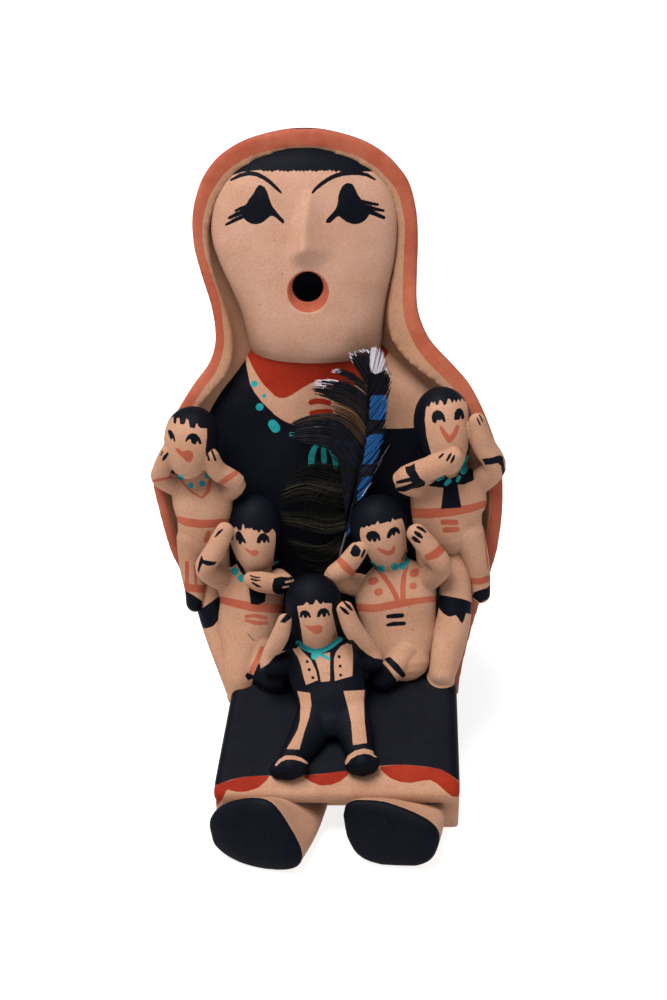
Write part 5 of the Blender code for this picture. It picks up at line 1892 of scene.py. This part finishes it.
def make_clay(groups):
    face_clay = painted_clay("face_clay", srgb(168, 130, 112), srgb(158, 119, 98), groups, specks=1.0)
    child_clay = painted_clay("child_clay", srgb(162, 124, 102), srgb(152, 112, 89), groups, specks=0.7)
    # The shawl's slip is darker than the slip of her face: painted shade, standing in for the shade inside
    # the hood.
    shawl_clay = painted_clay("shawl_clay", srgb(158, 118, 94), srgb(146, 106, 82), groups, specks=0.5)
    dress_clay = painted_clay("dress_clay", srgb(164, 126, 104), srgb(154, 113, 90), groups, specks=0.8)

    face = joined(shape(head), ROUGH_HEAD_GRAIN, ROUGH_HEAD_RUBS)
    pinch_nose(face)
    face = carved(carved(face, shape(mouth_hole)), shape(lip))
    clay_piece(joined(face, HEAD_GRAIN, HEAD_RUBS), "mother_head", paint_head, None, face_clay)

    cloak = joined(carved(shape(shawl), shape(shawl_hollow)), SHAWL_GRAIN, CLAY_RUBS)
    stand(cloak)
    clay_piece(cloak, "shawl", paint_shawl, None, shawl_clay)

    dress = joined(shape(chest, lap, arms), DRESS_GRAIN, CLAY_RUBS)
    stand(dress)
    lumps = {
        "left": lambda p: off_limb(p, ARMS["left"]),
        "right": lambda p: off_limb(p, ARMS["right"]),
        "chest": lambda p: np.full(len(p), ARM_PAINT_REACH),
    }
    clay_piece(dress, "dress", paint_dress, lumps, dress_clay)

    feet = joined(shape(legs), FOOT_GRAIN, FOOT_RUBS)
    stand(feet)
    clay_piece(feet, "feet", paint_feet, None, dress_clay)

    for name, form in CHILDREN.items():
        lump = bmesh.new()
        child(lump, form)
        lump = joined(lump, CHILD_GRAIN, CLAY_RUBS)
        clay_piece(lump, "child_" + name, PAINTERS[name], child_lumps(form), child_clay)


# Floor, light and camera


def make_floor():
    """White paper lit from below as well, so that a shadow hardly shows on it."""
    bm = bmesh.new()
    bmesh.ops.create_grid(bm, x_segments=1, y_segments=1, size=4.0)
    mesh = bpy.data.meshes.new("floor")
    bm.to_mesh(mesh)
    bm.free()
    floor = bpy.data.objects.new("floor", mesh)
    bpy.context.scene.collection.objects.link(floor)
    paper = bpy.data.materials.new("pale_paper")
    paper.use_nodes = True
    shader = paper.node_tree.nodes["Principled BSDF"]
    shader.inputs["Base Color"].default_value = (0.4, 0.4, 0.4, 1.0)
    shader.inputs["Emission Color"].default_value = (1.0, 1.0, 1.0, 1.0)
    shader.inputs["Emission Strength"].default_value = 0.8
    shader.inputs["Roughness"].default_value = 0.9
    shader.inputs["Specular IOR Level"].default_value = 0.1
    mesh.materials.append(paper)


def make_lights():
    scene = bpy.context.scene
    world = bpy.data.worlds.new("studio")
    world.use_nodes = True
    sky = world.node_tree.nodes["Background"]
    sky.inputs["Color"].default_value = (1.0, 1.0, 1.0, 1.0)
    sky.inputs["Strength"].default_value = 0.42
    scene.world = world
    lamps = (
        ("key", (-1.0, -0.65, 3.4), 2.4, 232.0, (1.0, 0.99, 0.97)),
        ("fill", (1.9, -1.4, 2.4), 2.4, 10.0, (0.98, 0.99, 1.0)),
    )
    for name, place, size, power, colour in lamps:
        light = bpy.data.lights.new(name, "AREA")
        light.shape = "DISK"
        light.size = size
        light.energy = power
        light.color = colour
        lamp = bpy.data.objects.new(name, light)
        lamp.location = place
        lamp.rotation_euler = (Vector(place) - Vector((0.0, 0.0, 0.1))).to_track_quat("Z", "Y").to_euler()
        scene.collection.objects.link(lamp)


def make_camera():
    scene = bpy.context.scene
    view = bpy.data.cameras.new("front_view")
    view.sensor_width = 36.0
    view.lens = 36.0 * VIEW_SCALE / VIEW_HEIGHT
    view.clip_start = 0.05
    camera = bpy.data.objects.new("front_view", view)
    camera.location = (VIEW_EYE - Vector((CENTRE_X, CENTRE_Y, 0.0))) * MM
    camera.rotation_euler = (-VIEW_AIM).to_track_quat("Z", "Y").to_euler()
    scene.collection.objects.link(camera)
    scene.camera = camera
    scene.view_settings.view_transform = "Standard"


def main():
    groups = {"brushed_edge": brushed_edge_group(), "clay_skin": clay_skin_group()}
    make_camera()
    make_floor()
    make_lights()
    make_clay(groups)
    make_feathers(groups)


main()
